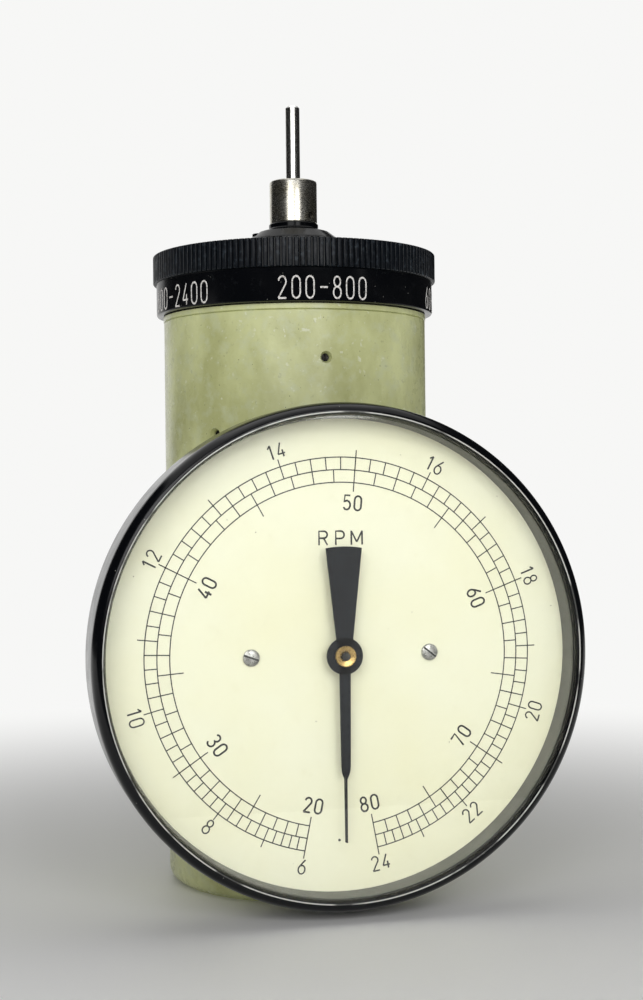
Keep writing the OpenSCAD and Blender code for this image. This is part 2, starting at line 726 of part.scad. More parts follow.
module spindle_bush_rear() color("#b08d57") translate([0, 0, spindle_low]) difference() {
  cylinder(h = lower_top - spindle_low, r = journal_r + bush_wall, $fn = coarse);
  translate([0, 0, fit + gap]) cylinder(h = frame_t, r = journal_r + fit, $fn = fine);
}

module round_plate(r, z, t) translate([0, 0, z]) cylinder(h = t, r = r, $fn = fine);

pickoff_point = polar_point(centre, pickoff_a);
idler_point = polar_point(centre, idler_a);
screw_point = [range_centre, 0];
gear_pillar_a = [145, 215, 300];
governor_pillar_a = [105, 180, 300];
guide_point = [0, -guide_y];

module gear_plate_upper() color("#c8a64b") difference() {
  round_plate(neck_bore_r - fit, upper_z, upper_t);
  translate([0, 0, upper_z - over]) {
    cylinder(h = upper_t + 2 * over, r = journal_r + 2 * gap, $fn = coarse);
    for (p = [pickoff_point, idler_point]) place(p, 0)
      cylinder(h = upper_t + 2 * over, r = shaft_r + fit, $fn = coarse);
    place(screw_point, 0) cylinder(h = upper_t + 2 * over, r = screw_core_r + fit, $fn = coarse);
    for (x = [-1, 1]) place([x * nose_screw_x, 0], 0)
      cylinder(h = upper_t + 2 * over, r = nose_screw_r + fit, $fn = coarse);
    polar(detent_ring_r, detent_a)
      cylinder(h = upper_t + 2 * over, r = detent_r + detent_wall + fit, $fn = coarse);
  }
}

module gear_plate_lower() color("#c8a64b") difference() {
  round_plate(bore_r - fit, lower_z, frame_t);
  translate([0, 0, spindle_low])
    cylinder(h = frame_t, r = journal_r + bush_wall + fit / 2, $fn = coarse);
  place(pickoff_point, lower_z - over)
    cylinder(h = frame_t + 2 * over, r = shaft_r + fit, $fn = coarse);
  place(idler_point, lower_z + frame_t / 2) cylinder(h = frame_t, r = shaft_r + fit, $fn = coarse);
  place(screw_point, lower_z + frame_t / 2)
    cylinder(h = frame_t, r = screw_core_r + fit, $fn = coarse);
  for (s = upper_screws) at_wall(s) grub_hole();
}

module gear_pillars() color("#b9b9b4") for (a = gear_pillar_a) polar(pillar_ring_d / 2, a)
  translate([0, 0, lower_top]) cylinder(h = upper_z - lower_top, r = pillar_r, $fn = coarse);

module governor_plate() color("#c8a64b") difference() {
  round_plate(bore_r - fit, governor_plate_z, frame_t);
  translate([0, 0, governor_plate_z - over])
    cylinder(h = frame_t + 2 * over, r = bush_r + fit / 2, $fn = coarse);
  place(pickoff_point, governor_plate_top - frame_t / 2)
    cylinder(h = frame_t, r = shaft_r + fit, $fn = coarse);
  place(guide_point, governor_plate_z - over)
    cylinder(h = frame_t / 2 + over, r = guide_r + fit, $fn = coarse);
  for (s = lower_screws) at_wall(s) grub_hole();
}

module governor_pillars() color("#b9b9b4") for (a = governor_pillar_a) polar(pillar_ring_d / 2, a)
  translate([0, 0, governor_plate_top])
    cylinder(h = lower_z - governor_plate_top, r = pillar_r, $fn = coarse);

module idler_shaft() color("silver") place(idler_point, lower_top - frame_t / 2 + fit)
  cylinder(h = upper_top - lower_top + frame_t / 2 - 2 * fit, r = shaft_r, $fn = fine);

// Range ring: plain band for the numerals, ribbed grip and a shallow conical face
rib_a = 360 / ribs;
module range_ring() color("#141418") difference() {
  union() {
    rotate_extrude($fn = 2 * fine) polygon([
      [ring_bore_r, ring_z], [band_d / 2 - ring_step, ring_z], [band_d / 2, ring_z + ring_step],
      [band_d / 2, knurl_z], [knurl_d / 2 - rib_depth, knurl_z],
      [knurl_d / 2 - rib_depth, ring_top - rib_chamfer],
      [knurl_d / 2 - rib_depth - rib_chamfer, ring_top],
      [shoulder_d / 2 + 2 * gap, ring_cone_z + gap],
      [shoulder_d / 2 + gap, ring_cone_z], [ring_hole_r, ring_cone_z],
      [ring_hole_r, ring_under], [ring_bore_r, ring_under]]);
    translate([0, 0, knurl_z]) linear_extrude(knurl_h - rib_chamfer) difference() {
      polygon([
        for (i = [0 : ribs - 1], p = [[-rib_root_share, 1], [-rib_tip_share, 0], [rib_tip_share, 0],
          [rib_root_share, 1]])
          polar_point(knurl_d / 2 - (rib_depth + fit / 4) * p[1], (i + p[0]) * rib_a)]);
      circle(r = ring_bore_r + (band_d / 2 - ring_bore_r) / 2, $fn = fine);
    }
  }
  translate([0, 0, ring_under]) rotate_extrude($fn = fine)
    translate([detent_ring_r, -detent_sink]) circle(r = detent_r + gap, $fn = coarse);
  for (k = [0 : ranges - 1]) polar(detent_ring_r, detent_a + k * range_step)
    translate([0, 0, ring_under - detent_sink]) sphere(r = detent_r + 2 * gap, $fn = coarse);
}

module range_gear() color("#b9b9b4") translate([0, 0, ring_under - range_gear_h])
  gear(range_teeth, range_m, -range_shift, range_gear_h, ring_hole_r, 0);

// Multi-start screw that moves the shift fork from level to level
range_pinion_w = 1.8;
screw_phase = mate(0, range_teeth, 0, screw_teeth);
module range_screw() color("#b9b9b4") place(screw_point, 0) {
  translate([0, 0, lower_top - frame_t / 2 + fit])
    cylinder(h = frame_t / 2 + gap - fit, r = screw_core_r, $fn = coarse);
  translate([0, 0, lower_top + gap / 2])
    linear_extrude(height = upper_z - lower_top - gap, slices = 60,
      twist = screw_turn * (upper_z - lower_top - gap) / (level_h * (ranges - 1)))
      square([screw_core_r * 1.9, screw_core_r * 0.9], center = true);
  translate([0, 0, upper_z - gap]) cylinder(h = upper_t + 2 * gap, r = screw_core_r, $fn = coarse);
  translate([0, 0, upper_top + gap])
    gear(screw_teeth, range_m, range_shift, range_pinion_w, 0.01, screw_phase);
}

// Cage that carries the pick-off pinion up and down its shaft
rest_level = 1;
fork_eye_r = 2.7;
fork_nut_r = 3.3;
cage_z = levels[rest_level] - gear_w / 2 - fork_play - fork_plate_t;
cage_h = gear_w + 2 * fork_play + 2 * fork_plate_t;
module shift_fork() color("#c9b27a") difference() {
  union() {
    for (z = [cage_z, cage_z + cage_h - fork_plate_t]) translate([0, 0, z])
      linear_extrude(fork_plate_t) bar(pickoff_point, screw_point, fork_eye_r);
    place(screw_point, cage_z) cylinder(h = cage_h, r = fork_nut_r, $fn = coarse);
  }
  place(screw_point, cage_z - over)
    cylinder(h = cage_h + 2 * over, r = screw_core_r * 1.06 + fit, $fn = coarse);
  place(pickoff_point, cage_z - over)
    cylinder(h = cage_h + 2 * over, r = shaft_r + key_h + 2 * fit, $fn = coarse);
}

detent_r = 1.5;
detent_ring_r = 22;
detent_a = 180;
detent_sink = 0.9;
detent_wall = 0.8;
detent_low = upper_z - 3;
detent_high = ring_under - detent_sink;
module detent_seat() color("#b9b9b4") polar(detent_ring_r, detent_a) translate([0, 0, detent_low])
  difference() {
    cylinder(h = detent_high - detent_low, r = detent_r + detent_wall, $fn = coarse);
    translate([0, 0, detent_wall])
      cylinder(h = detent_high - detent_low, r = detent_r + fit, $fn = coarse);
  }

module detent_ball() color("silver") polar(detent_ring_r, detent_a)
  translate([0, 0, detent_high]) sphere(r = detent_r, $fn = coarse);

module detent_spring() color("#9a9a96") polar(detent_ring_r, detent_a)
  translate([0, 0, detent_low + detent_wall])
  linear_extrude(height = detent_high - detent_r - detent_low - detent_wall, twist = detent_twist,
    slices = coarse)
    translate([detent_r * 0.66, 0]) circle(r = detent_r * 0.2, $fn = 8);
detent_twist = 1440;

module spindle() color("#d5d4cf") rotate_extrude($fn = fine) polygon([
  [0, spindle_low + fit + gap], [journal_r, spindle_low + fit + gap],
  [journal_r, collar_top - gap], [spindle_r - relief, collar_top - gap],
  [spindle_r - relief, collar_top + gap], [spindle_r, collar_top + gap],
  [spindle_r, tip_z - tip_point], [spindle_r - tip_point, tip_z], [0, tip_z]]);

module spindle_gears() color("#c8a64b") cluster(0, wheel_n, phase_d, pinion_n, 0, journal_r);

// A wheel and a pinion on one hub, where the pinion lies one level below the wheel
module cluster(k, n_wheel, wheel_phase, n_pinion, pinion_phase, hole) difference() {
  union() {
    translate([0, 0, levels[k] - gear_w / 2]) rotate([0, 0, wheel_phase])
      linear_extrude(gear_w) polygon(gear_points(n_wheel, gear_m, -tooth_shift));
    translate([0, 0, levels[k + 1] - gear_w / 2]) rotate([0, 0, pinion_phase])
      linear_extrude(gear_w) polygon(gear_points(n_pinion, gear_m, tooth_shift));
    translate([0, 0, levels[k + 1]]) cylinder(h = level_h, r = hole + hub_wall, $fn = fine);
  }
  translate([0, 0, levels[k + 1] - gear_w]) cylinder(h = level_h + 2 * gear_w, r = hole, $fn = fine);
}
hub_wall = 0.9;

module idler_gear_1() color("#c8a64b") place(idler_point, 0)
  cluster(1, wheel_n, phase_b1, mid_pinion_n, phase_b1s, shaft_r + fit);
module idler_gear_2() color("#c8a64b")
  cluster(2, mid_wheel_n, phase_a1, pinion_n, phase_a1s, journal_r + fit);
module idler_gear_3() color("#c8a64b") place(idler_point, 0)
  cluster(3, wheel_n, phase_b2, mid_pinion_n, phase_b2s, shaft_r + fit);
module idler_gear_4() color("#c8a64b")
  translate([0, 0, levels[ranges - 1] - gear_w / 2]) rotate([0, 0, phase_a1 - slow_lead])
  difference() {
    linear_extrude(gear_w)
      polygon(gear_points(mid_wheel_n, gear_m, -tooth_shift, slow_slack));
    translate([0, 0, -over]) cylinder(h = gear_w + 2 * over, r = journal_r + fit, $fn = fine);
  }

key_h = 0.5;
key_w = 0.9;
pickoff_low = governor_plate_top - frame_t / 2 + fit;
module pickoff_shaft() color("silver") place(pickoff_point, 0) {
  translate([0, 0, pickoff_low]) cylinder(h = upper_top - fit - pickoff_low, r = shaft_r, $fn = fine);
  translate([0, -key_w / 2, lower_top + gap])
    cube([shaft_r + key_h, key_w, upper_z - lower_top - 2 * gap]);
}

module pickoff_pinion() color("#d0c9a8") difference() {
  place(pickoff_point, 0) level_gear(rest_level, pinion_n, tooth_shift, shaft_r + fit, phase_p);
  place(pickoff_point, levels[rest_level] - gear_w)
    translate([0, -key_w / 2 - fit, 0]) cube([shaft_r + key_h + fit, key_w + 2 * fit, 2 * gear_w]);
}

module output_wheel() color("#c8a64b") place(pickoff_point, output_z - gear_w / 2)
  gear(wheel_n, gear_m, -tooth_shift, gear_w, shaft_r, 0);

module governor_shaft() color("silver") translate([0, 0, governor_low - spigot_h + gap])
  cylinder(h = governor_top - governor_low + spigot_h - gap, r = shaft_g, $fn = fine);

module governor_pinion() color("#d0c9a8") translate([0, 0, output_z - gear_w / 2])
  gear(pinion_n, gear_m, tooth_shift, gear_w, shaft_g, phase_g);

module governor_bushes() color("#b08d57") {
  translate([0, 0, governor_plate_z]) difference() {
    cylinder(h = frame_t, r = bush_r, $fn = coarse);
    translate([0, 0, -over]) cylinder(h = frame_t + 2 * over, r = shaft_g + fit, $fn = fine);
  }
  translate([0, 0, cap_t]) difference() {
    cylinder(h = spigot_h, r = bush_r, $fn = coarse);
    translate([0, 0, gap / 2]) cylinder(h = spigot_h + over, r = shaft_g + fit, $fn = fine);
  }
}

// Carrier with a pair of ears for each flyweight
module weight_carrier() color("#b9b9b4") difference() {
  union() {
    translate([0, 0, carrier_top - 2 * carrier_h])
      cylinder(h = 2 * carrier_h, r = shaft_g + carrier_wall, $fn = fine);
    translate([0, 0, carrier_top - carrier_h]) intersection() {
      cylinder(h = carrier_h, r = pivot_r + ear_r, $fn = fine);
      translate([-pivot_r - ear_r, -weight_w / 2 - gap - ear_t, 0])
        cube([2 * (pivot_r + ear_r), weight_w + 2 * gap + 2 * ear_t, carrier_h]);
    }
    for (x = [-1, 1], y = [-1, 1])
      translate([x * pivot_r, y * (weight_w / 2 + gap + ear_t / 2), 0]) {
        translate([0, ear_t / 2, pivot_z]) rotate([90, 0, 0])
          cylinder(h = ear_t, r = ear_r, $fn = coarse);
        translate([-ear_r, -ear_t / 2, carrier_top - gap])
          cube([2 * ear_r, ear_t, pivot_z - carrier_top + gap]);
      }
  }
  translate([0, 0, carrier_top - 2 * carrier_h - over])
    cylinder(h = 3 * carrier_h, r = shaft_g, $fn = fine);
  for (x = [-1, 1]) translate([x * pivot_r, block_w, pivot_z]) rotate([90, 0, 0])
    cylinder(h = 2 * block_w, r = pin_r, $fn = coarse);
}

module weight_pins() color("silver") for (x = [-1, 1])
  translate([x * pivot_r, weight_w / 2 + gap + ear_t, pivot_z]) rotate([90, 0, 0])
    cylinder(h = weight_w + 2 * gap + 2 * ear_t, r = pin_r, $fn = coarse);

// Bell crank: a block above the pivot and a toe that lifts the sleeve
module flyweight() difference() {
  union() {
    rotate([90, 0, 0]) {
      translate([0, 0, -weight_w / 2]) cylinder(h = weight_w, r = ear_r, $fn = coarse);
      translate([0, 0, -weight_w / 2]) linear_extrude(weight_w) {
        polygon([[-ear_r * 0.8, 0], [ear_r * 0.8, 0], [block_out, block_z + gap],
          [-block_in * 0.8, block_z + gap]]);
        rotate(toe_a) translate([-toe_len, -toe_r]) square([toe_len, toe_r * 0.8]);
        rotate(toe_a) translate([-toe_len, 0]) circle(r = toe_r, $fn = coarse);
      }
      translate([0, 0, -block_w / 2]) linear_extrude(block_w)
        translate([-block_in, block_z]) square([block_in + block_out, weight_h - block_z]);
    }
  }
  rotate([90, 0, 0]) translate([0, 0, -block_w])
    cylinder(h = 2 * block_w, r = pin_r + fit, $fn = coarse);
}
module flyweight_right() color("#a8843c") translate([pivot_r, 0, pivot_z]) flyweight();
module flyweight_left() color("#a8843c") mirror([1, 0, 0]) translate([pivot_r, 0, pivot_z])
  flyweight();

module governor_sleeve() color("#c9b27a") rotate_extrude($fn = fine) polygon([
  [shaft_g + fit, flange_z], [flange_r, flange_z], [flange_r, flange_z + flange_h],
  [sleeve_r, flange_z + flange_h], [sleeve_r, spool_z], [spool_r, spool_z],
  [spool_r, spool_z + spool_cheek], [groove_r, spool_z + spool_cheek],
  [groove_r, spool_z + spool_cheek + spool_gap], [spool_r, spool_z + spool_cheek + spool_gap],
  [spool_r, sleeve_top], [shaft_g + fit, sleeve_top]]);

// Open coil between the sleeve and its seat, as one tube swept along a helix
coil_r = shaft_g + coil_gap;
coil_steps = 14;
coil_sides = 6;
coil_rings = spring_turns * coil_steps;
coil_rise = spring_free - wire_d - 2 * fit;
function coil_point(i, s) = let (
    a = 360 * i / coil_steps,
    r = coil_r + wire_d / 2 * cos(360 * s / coil_sides),
    z = coil_rise * i / coil_rings + wire_d / 2 * sin(360 * s / coil_sides))
  [r * cos(a), r * sin(a), z];
module governor_spring() color("#8f939a") translate([0, 0, sleeve_top + wire_d / 2 + fit])
  polyhedron(
    points = [for (i = [0 : coil_rings], s = [0 : coil_sides - 1]) coil_point(i, s)],
    faces = concat(
      [[for (s = [0 : coil_sides - 1]) s]],
      [[for (s = [coil_sides - 1 : -1 : 0]) coil_rings * coil_sides + s]],
      [for (i = [0 : coil_rings - 1], s = [0 : coil_sides - 1], half = [0, 1])
        let (a = i * coil_sides + s, b = i * coil_sides + (s + 1) % coil_sides)
        half == 0 ? [a, a + coil_sides, b] : [b, a + coil_sides, b + coil_sides]]));

module spring_seat() color("#b9b9b4") translate([0, 0, sleeve_top + spring_free]) difference() {
  cylinder(h = seat_h, r = coil_r + 2 * wire_d, $fn = fine);
  translate([0, 0, -over]) cylinder(h = seat_h + 2 * over, r = shaft_g, $fn = fine);
}

// Fork, arm and rack in one piece: it follows the sleeve and turns the movement's arbor
rack_pitch = PI * dial_m;
rack_half = rack_pitch / 4 - tooth_slack;
rack_lean = tan(pressure) * dial_m;
rack_teeth = floor((rack_end - rack_low) / rack_pitch);
module follower_rack() color("#b9b9b4") {
  difference() {
    union() {
      translate([0, 0, fork_z]) linear_extrude(fork_t) {
        circle(r = spool_r + 2 * gap, $fn = coarse);
        translate([-fork_w / 2, -rack_level - rack_t]) square([fork_w, rack_level + rack_t]);
        translate([rack_x - rack_edge, -rack_level - rack_t])
          square([fork_w / 2 - rack_x + rack_edge, rack_t + level_gap]);
      }
      place(guide_point, fork_z) cylinder(h = guide_boss_h, r = guide_boss_r, $fn = coarse);
    }
    translate([0, 0, fork_z - over]) cylinder(h = fork_t + 2 * over, r = groove_r + gap, $fn = fine);
    translate([-groove_r - gap, 0, fork_z - over])
      cube([2 * (groove_r + gap), 2 * spool_r, fork_t + 2 * over]);
    place(guide_point, fork_z - over)
      cylinder(h = guide_boss_h + 2 * over, r = guide_r + fit, $fn = coarse);
  }
  dial_frame() translate([0, 0, rack_level]) linear_extrude(rack_t) {
    translate([rack_x - rack_edge, rack_low])
      square([rack_w + rack_edge - dial_m, fork_z + fork_t - dial_z - rack_low]);
    for (i = [0 : rack_teeth - 1])
      translate([rack_x, arbor_z + rack_pitch * (i + 0.5) - ceil(rack_teeth / 1.6) * rack_pitch])
        polygon([[-dial_m * addendum_share, -rack_half + rack_lean * addendum_share],
          [dial_m * dedendum_share, -rack_half - rack_lean * dedendum_share],
          [dial_m * dedendum_share, rack_half + rack_lean * dedendum_share],
          [-dial_m * addendum_share, rack_half - rack_lean * addendum_share]]);
  }
}
rack_edge = -dial_m * 1.05;

module follower_guide() color("silver") place(guide_point, fork_z - gap * 4)
  cylinder(h = governor_plate_z + frame_t / 2 - fit - fork_z + gap * 4, r = guide_r, $fn = coarse);

body_housing();
rear_cap();
rear_cap_screws();
body_screws();
dial_case();
case_screws();
bezel();
glass_gasket();
dial_glass();
spacer_ring();
dial_plate();
dial_screws();
movement_plate();
movement_bridge();
movement_arbor();
pointer_arbor();
hairspring();
pointer();
pointer_boss();
nose_boss();
nose_screws();
nose_collar();
collar_screw();
spindle_bush_front();
spindle_bush_rear();
gear_plate_upper();
gear_plate_lower();
gear_pillars();
governor_plate();
governor_pillars();
idler_shaft();
range_ring();
range_gear();
range_screw();
shift_fork();
detent_seat();
detent_ball();
detent_spring();
spindle();
spindle_gears();
idler_gear_1();
idler_gear_2();
idler_gear_3();
idler_gear_4();
pickoff_shaft();
pickoff_pinion();
output_wheel();
governor_shaft();
governor_pinion();
weight_carrier();
weight_pins();
flyweight_left();
flyweight_right();
governor_sleeve();
governor_spring();
spring_seat();
governor_bushes();
follower_rack();
follower_guide();
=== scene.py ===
import json
import math

import bpy
from bpy.props import FloatProperty, FloatVectorProperty, IntProperty, PointerProperty
from mathutils import Matrix, Vector


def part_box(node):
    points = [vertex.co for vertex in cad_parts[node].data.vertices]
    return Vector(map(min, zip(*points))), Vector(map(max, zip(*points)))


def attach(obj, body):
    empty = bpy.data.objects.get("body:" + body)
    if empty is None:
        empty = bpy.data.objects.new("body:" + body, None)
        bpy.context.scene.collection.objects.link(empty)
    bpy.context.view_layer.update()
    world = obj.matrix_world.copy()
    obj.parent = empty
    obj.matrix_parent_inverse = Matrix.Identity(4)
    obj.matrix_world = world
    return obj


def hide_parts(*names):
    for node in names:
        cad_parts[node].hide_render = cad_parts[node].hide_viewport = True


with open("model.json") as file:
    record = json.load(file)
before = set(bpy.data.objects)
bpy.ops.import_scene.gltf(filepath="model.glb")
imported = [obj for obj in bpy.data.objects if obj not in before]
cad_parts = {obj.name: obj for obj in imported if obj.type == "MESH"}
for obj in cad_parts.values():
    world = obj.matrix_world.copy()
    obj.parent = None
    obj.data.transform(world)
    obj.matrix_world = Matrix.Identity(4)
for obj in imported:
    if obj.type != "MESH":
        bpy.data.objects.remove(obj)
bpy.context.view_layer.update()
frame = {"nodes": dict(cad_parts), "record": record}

bl_info = {
    "name": "Hand Tachometer",
    "version": (1, 0, 0),
    "blender": (4, 5, 0),
    "location": "View3D > Sidebar > Tachometer",
    "description": "Dresses a hand tachometer: dial, pointer, range ring, nose and finishes",
    "category": "Object",
}

MM = 0.001
TURN = 2 * math.pi

# The frame's own places, read from its nodes
BEZEL_LOW, BEZEL_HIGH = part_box("bezel")
PLATE_LOW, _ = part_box("dial_plate")
RING_LOW, RING_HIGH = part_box("range_ring")
COLLAR_LOW, COLLAR_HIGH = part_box("nose_collar")
POINTER_LOW, POINTER_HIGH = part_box("pointer")
HUB_LOW, HUB_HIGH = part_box("pointer_boss")
DIAL_CENTRE = Vector((0, PLATE_LOW.y, (BEZEL_LOW.z + BEZEL_HIGH.z) / 2))
# Radii of the bezel's crest, along which a bright line is painted as a highlight, and of the ring's
# plain band
CREST_R = 53.75 * MM
BAND_R = 34.0 * MM
# Ends of the two scales, and the outer value that stands beside 1 on the inner one
OUTER_FIRST, OUTER_LAST = 6, 24
INNER_FIRST, INNER_LAST = 20, 80
INNER_RATIO = 0.3
# The white of the floor and of all that is round it
PAPER_WHITE = (0.93, 0.93, 0.92, 1)


class DialSizes(bpy.types.PropertyGroup):
    """Sizes of the printing on the dial."""

    outer_circle: FloatProperty(
        name="Outer circle", description="Radius of the outermost scale circle",
        default=44.0 * MM, unit="LENGTH",
    )
    middle_circle: FloatProperty(
        name="Middle circle", description="Radius of the circle between the two scales",
        default=41.2 * MM, unit="LENGTH",
    )
    inner_circle: FloatProperty(
        name="Inner circle", description="Radius of the innermost scale circle",
        default=38.4 * MM, unit="LENGTH",
    )
    line_width: FloatProperty(
        name="Line width", description="Width of the printed lines",
        default=0.25 * MM, unit="LENGTH",
    )
    number_height: FloatProperty(
        name="Number height", description="Height of the dial's numbers",
        default=3.2 * MM, unit="LENGTH",
    )
    ink: FloatVectorProperty(
        name="Ink", description="Colour of the printing",
        subtype="COLOR", default=(0.004, 0.005, 0.005),
    )
    enamel: FloatVectorProperty(
        name="Enamel", description="Colour of the dial plate",
        subtype="COLOR", default=(0.69, 0.69, 0.53),
    )


class PointerSizes(bpy.types.PropertyGroup):
    """Sizes of the pointer."""

    arm_root: FloatProperty(
        name="Arm root", description="Width of the arm at the hub",
        default=2.6 * MM, unit="LENGTH",
    )
    arm_end: FloatProperty(
        name="Arm end", description="Width of the arm where it starts to twist",
        default=2.1 * MM, unit="LENGTH",
    )
    twist_start: FloatProperty(
        name="Twist start", description="Distance from the hub to the twist",
        default=24.4 * MM, unit="LENGTH",
    )
    twist_length: FloatProperty(
        name="Twist length", description="Length over which the strip turns on edge",
        default=2.8 * MM, unit="LENGTH",
    )
    tail_neck: FloatProperty(
        name="Tail neck", description="Width of the tail at the hub",
        default=3.0 * MM, unit="LENGTH",
    )
    tail_end: FloatProperty(
        name="Tail end", description="Width of the tail at its end",
        default=8.2 * MM, unit="LENGTH",
    )


class RingSizes(bpy.types.PropertyGroup):
    """Sizes of the range ring's ribs and numerals."""

    ribs: IntProperty(
        name="Ribs", description="Number of ribs round the grip", default=152, min=60
    )
    rib_width: FloatProperty(
        name="Rib width", description="Width of one rib",
        default=1.06 * MM, unit="LENGTH",
    )
    numeral_height: FloatProperty(
        name="Numeral height", description="Height of the engraved numerals",
        default=5.0 * MM, unit="LENGTH",
    )
    numeral_pitch: FloatProperty(
        name="Numeral pitch", description="Angle from one numeral to the next",
        default=math.radians(5.35), subtype="ANGLE",
    )
    enamel: FloatVectorProperty(
        name="Enamel", description="Colour of the ring, bezel and nose",
        subtype="COLOR", default=(0.0022, 0.0026, 0.0036),
    )


class BodyFinish(bpy.types.PropertyGroup):
    """Colours of the body's paint."""

    light: FloatVectorProperty(
        name="Light paint", description="Paler tone of the mottled paint",
        subtype="COLOR", default=(0.66, 0.69, 0.36),
    )
    dark: FloatVectorProperty(
        name="Dark paint", description="Deeper tone of the mottled paint",
        subtype="COLOR", default=(0.335, 0.345, 0.13),
    )


class StageSettings(bpy.types.PropertyGroup):
    """The camera and the lamps."""

    camera_place: FloatVectorProperty(
        name="Camera place", description="Where the camera stands",
        subtype="TRANSLATION", default=(-89.7 * MM, -393.0 * MM, 93.5 * MM),
    )
    camera_aim: FloatVectorProperty(
        name="Camera aim",
        description="Direction that the camera looks in",
        default=(0.2375, 0.9714, -0.0028),
    )
    lens: FloatProperty(
        name="Lens", description="Focal length on a 36 mm long side",
        default=58.46, unit="CAMERA",
    )
    key_power: FloatProperty(
        name="Key lamp", description="Power of the lamp at the front left",
        default=2.42, unit="POWER",
    )
    fill_power: FloatProperty(
        name="Fill lamp", description="Power of the lamp at the front right",
        default=1.55, unit="POWER",
    )


# Small tools for modelling


def deselect():
    """Leaves object mode with nothing selected."""
    if bpy.context.object and bpy.context.object.mode != "OBJECT":
        bpy.ops.object.mode_set(mode="OBJECT")
    bpy.ops.object.select_all(action="DESELECT")


def pick(*objects):
    """Selects only these objects and makes the last one active."""
    deselect()
    for obj in objects:
        obj.select_set(True)
        bpy.context.view_layer.objects.active = obj


def settle(obj, name=None):
    """Applies the object's place, turn and scale, and gives it its name."""
    pick(obj)
    bpy.ops.object.transform_apply(location=True, rotation=True, scale=True)
    if name:
        obj.name = name
        obj.data.name = name
    return obj


def join(objects, name):
    """Joins objects into one piece."""
    pick(*objects)
    if len(objects) > 1:
        bpy.ops.object.join()
    return settle(bpy.context.object, name)


def remove(*objects):
    """Deletes objects that only served to shape others."""
    pick(*objects)
    bpy.ops.object.delete()


def block(size, centre):
    """A box of that size, round that centre."""
    deselect()
    bpy.ops.mesh.primitive_cube_add(size=1, location=centre)
    obj = bpy.context.object
    obj.scale = size
    return settle(obj)


def bevel(obj, width, segments=2, angle=30):
    """Rounds the sharp edges with a modifier that is applied."""
    pick(obj)
    modifier = obj.modifiers.new("Edge", "BEVEL")
    modifier.width = width
    modifier.segments = segments
    modifier.limit_method = "ANGLE"
    modifier.angle_limit = math.radians(angle)
    bpy.ops.object.modifier_apply(modifier=modifier.name)


def cut_away(obj, cutter):
    """Cuts one object's shape out of another with a modifier that is applied."""
    pick(obj)
    modifier = obj.modifiers.new("Cut", "BOOLEAN")
    modifier.operation, modifier.object = "DIFFERENCE", cutter
    bpy.ops.object.modifier_apply(modifier=modifier.name)
    remove(cutter)


def choose(obj, kind, wanted):
    """Leaves edit mode on, with the wanted faces or edges selected."""
    pick(obj)
    bpy.ops.object.mode_set(mode="EDIT")
    bpy.ops.mesh.select_mode(type=kind)
    bpy.ops.mesh.select_all(action="DESELECT")
    bpy.ops.object.mode_set(mode="OBJECT")
    for part in obj.data.polygons if kind == "FACE" else obj.data.edges:
        part.select = wanted(part)
    bpy.ops.object.mode_set(mode="EDIT")


def smooth(obj, angle=35):
    """Smooth faces, with edges sharper than the angle kept."""
    pick(obj)
    bpy.ops.object.shade_smooth_by_angle(angle=math.radians(angle))


def turn_about(centre, angle):
    """A turn about an axis along Y through a point."""
    there = Matrix.Translation(centre)
    return there @ Matrix.Rotation(angle, 4, "Y") @ there.inverted()


def place_on_dial(x, up, height):
    """A point on the dial: right, up, and height over the plate's face."""
    return Vector((x, DIAL_CENTRE.y - height, DIAL_CENTRE.z + up))


def lathe(name, profile, steps, about="Z", centre=(0, 0, 0)):
    """Spins a closed outline of (radius, height) points, in metres, round an axis."""
    deselect()
    bpy.ops.mesh.primitive_circle_add(vertices=len(profile), radius=1)
    obj = bpy.context.object
    along = Vector((0, 0, 1)) if about == "Z" else Vector((0, -1, 0))
    middle = Vector(centre)
    for vertex, (radius, height) in zip(obj.data.vertices, profile):
        vertex.co = middle + Vector((radius, 0, 0)) + along * height
    bpy.ops.object.mode_set(mode="EDIT")
    bpy.ops.mesh.select_all(action="SELECT")
    bpy.ops.mesh.spin(steps=steps, angle=TURN, center=centre, axis=along)
    bpy.ops.mesh.select_all(action="SELECT")
    bpy.ops.mesh.remove_doubles(threshold=0.002 * MM)
    bpy.ops.mesh.dissolve_degenerate(threshold=0.002 * MM)
    bpy.ops.mesh.select_all(action="SELECT")
    bpy.ops.mesh.normals_make_consistent(inside=False)
    bpy.ops.object.mode_set(mode="OBJECT")
    return settle(obj, name)


def copy_of(obj, matrix):
    """A copy with a mesh of its own, moved by a matrix."""
    twin = obj.copy()
    twin.data = obj.data.copy()
    twin.data.transform(matrix)
    bpy.context.collection.objects.link(twin)
    return twin


def arc(cx, cy, rx, ry, start, end, steps=8):
    """Points on an arc, with angles in degrees."""
    angles = [math.radians(start + (end - start) * i / steps) for i in range(steps + 1)]
    return [(cx + rx * math.cos(a), cy + ry * math.sin(a)) for a in angles]


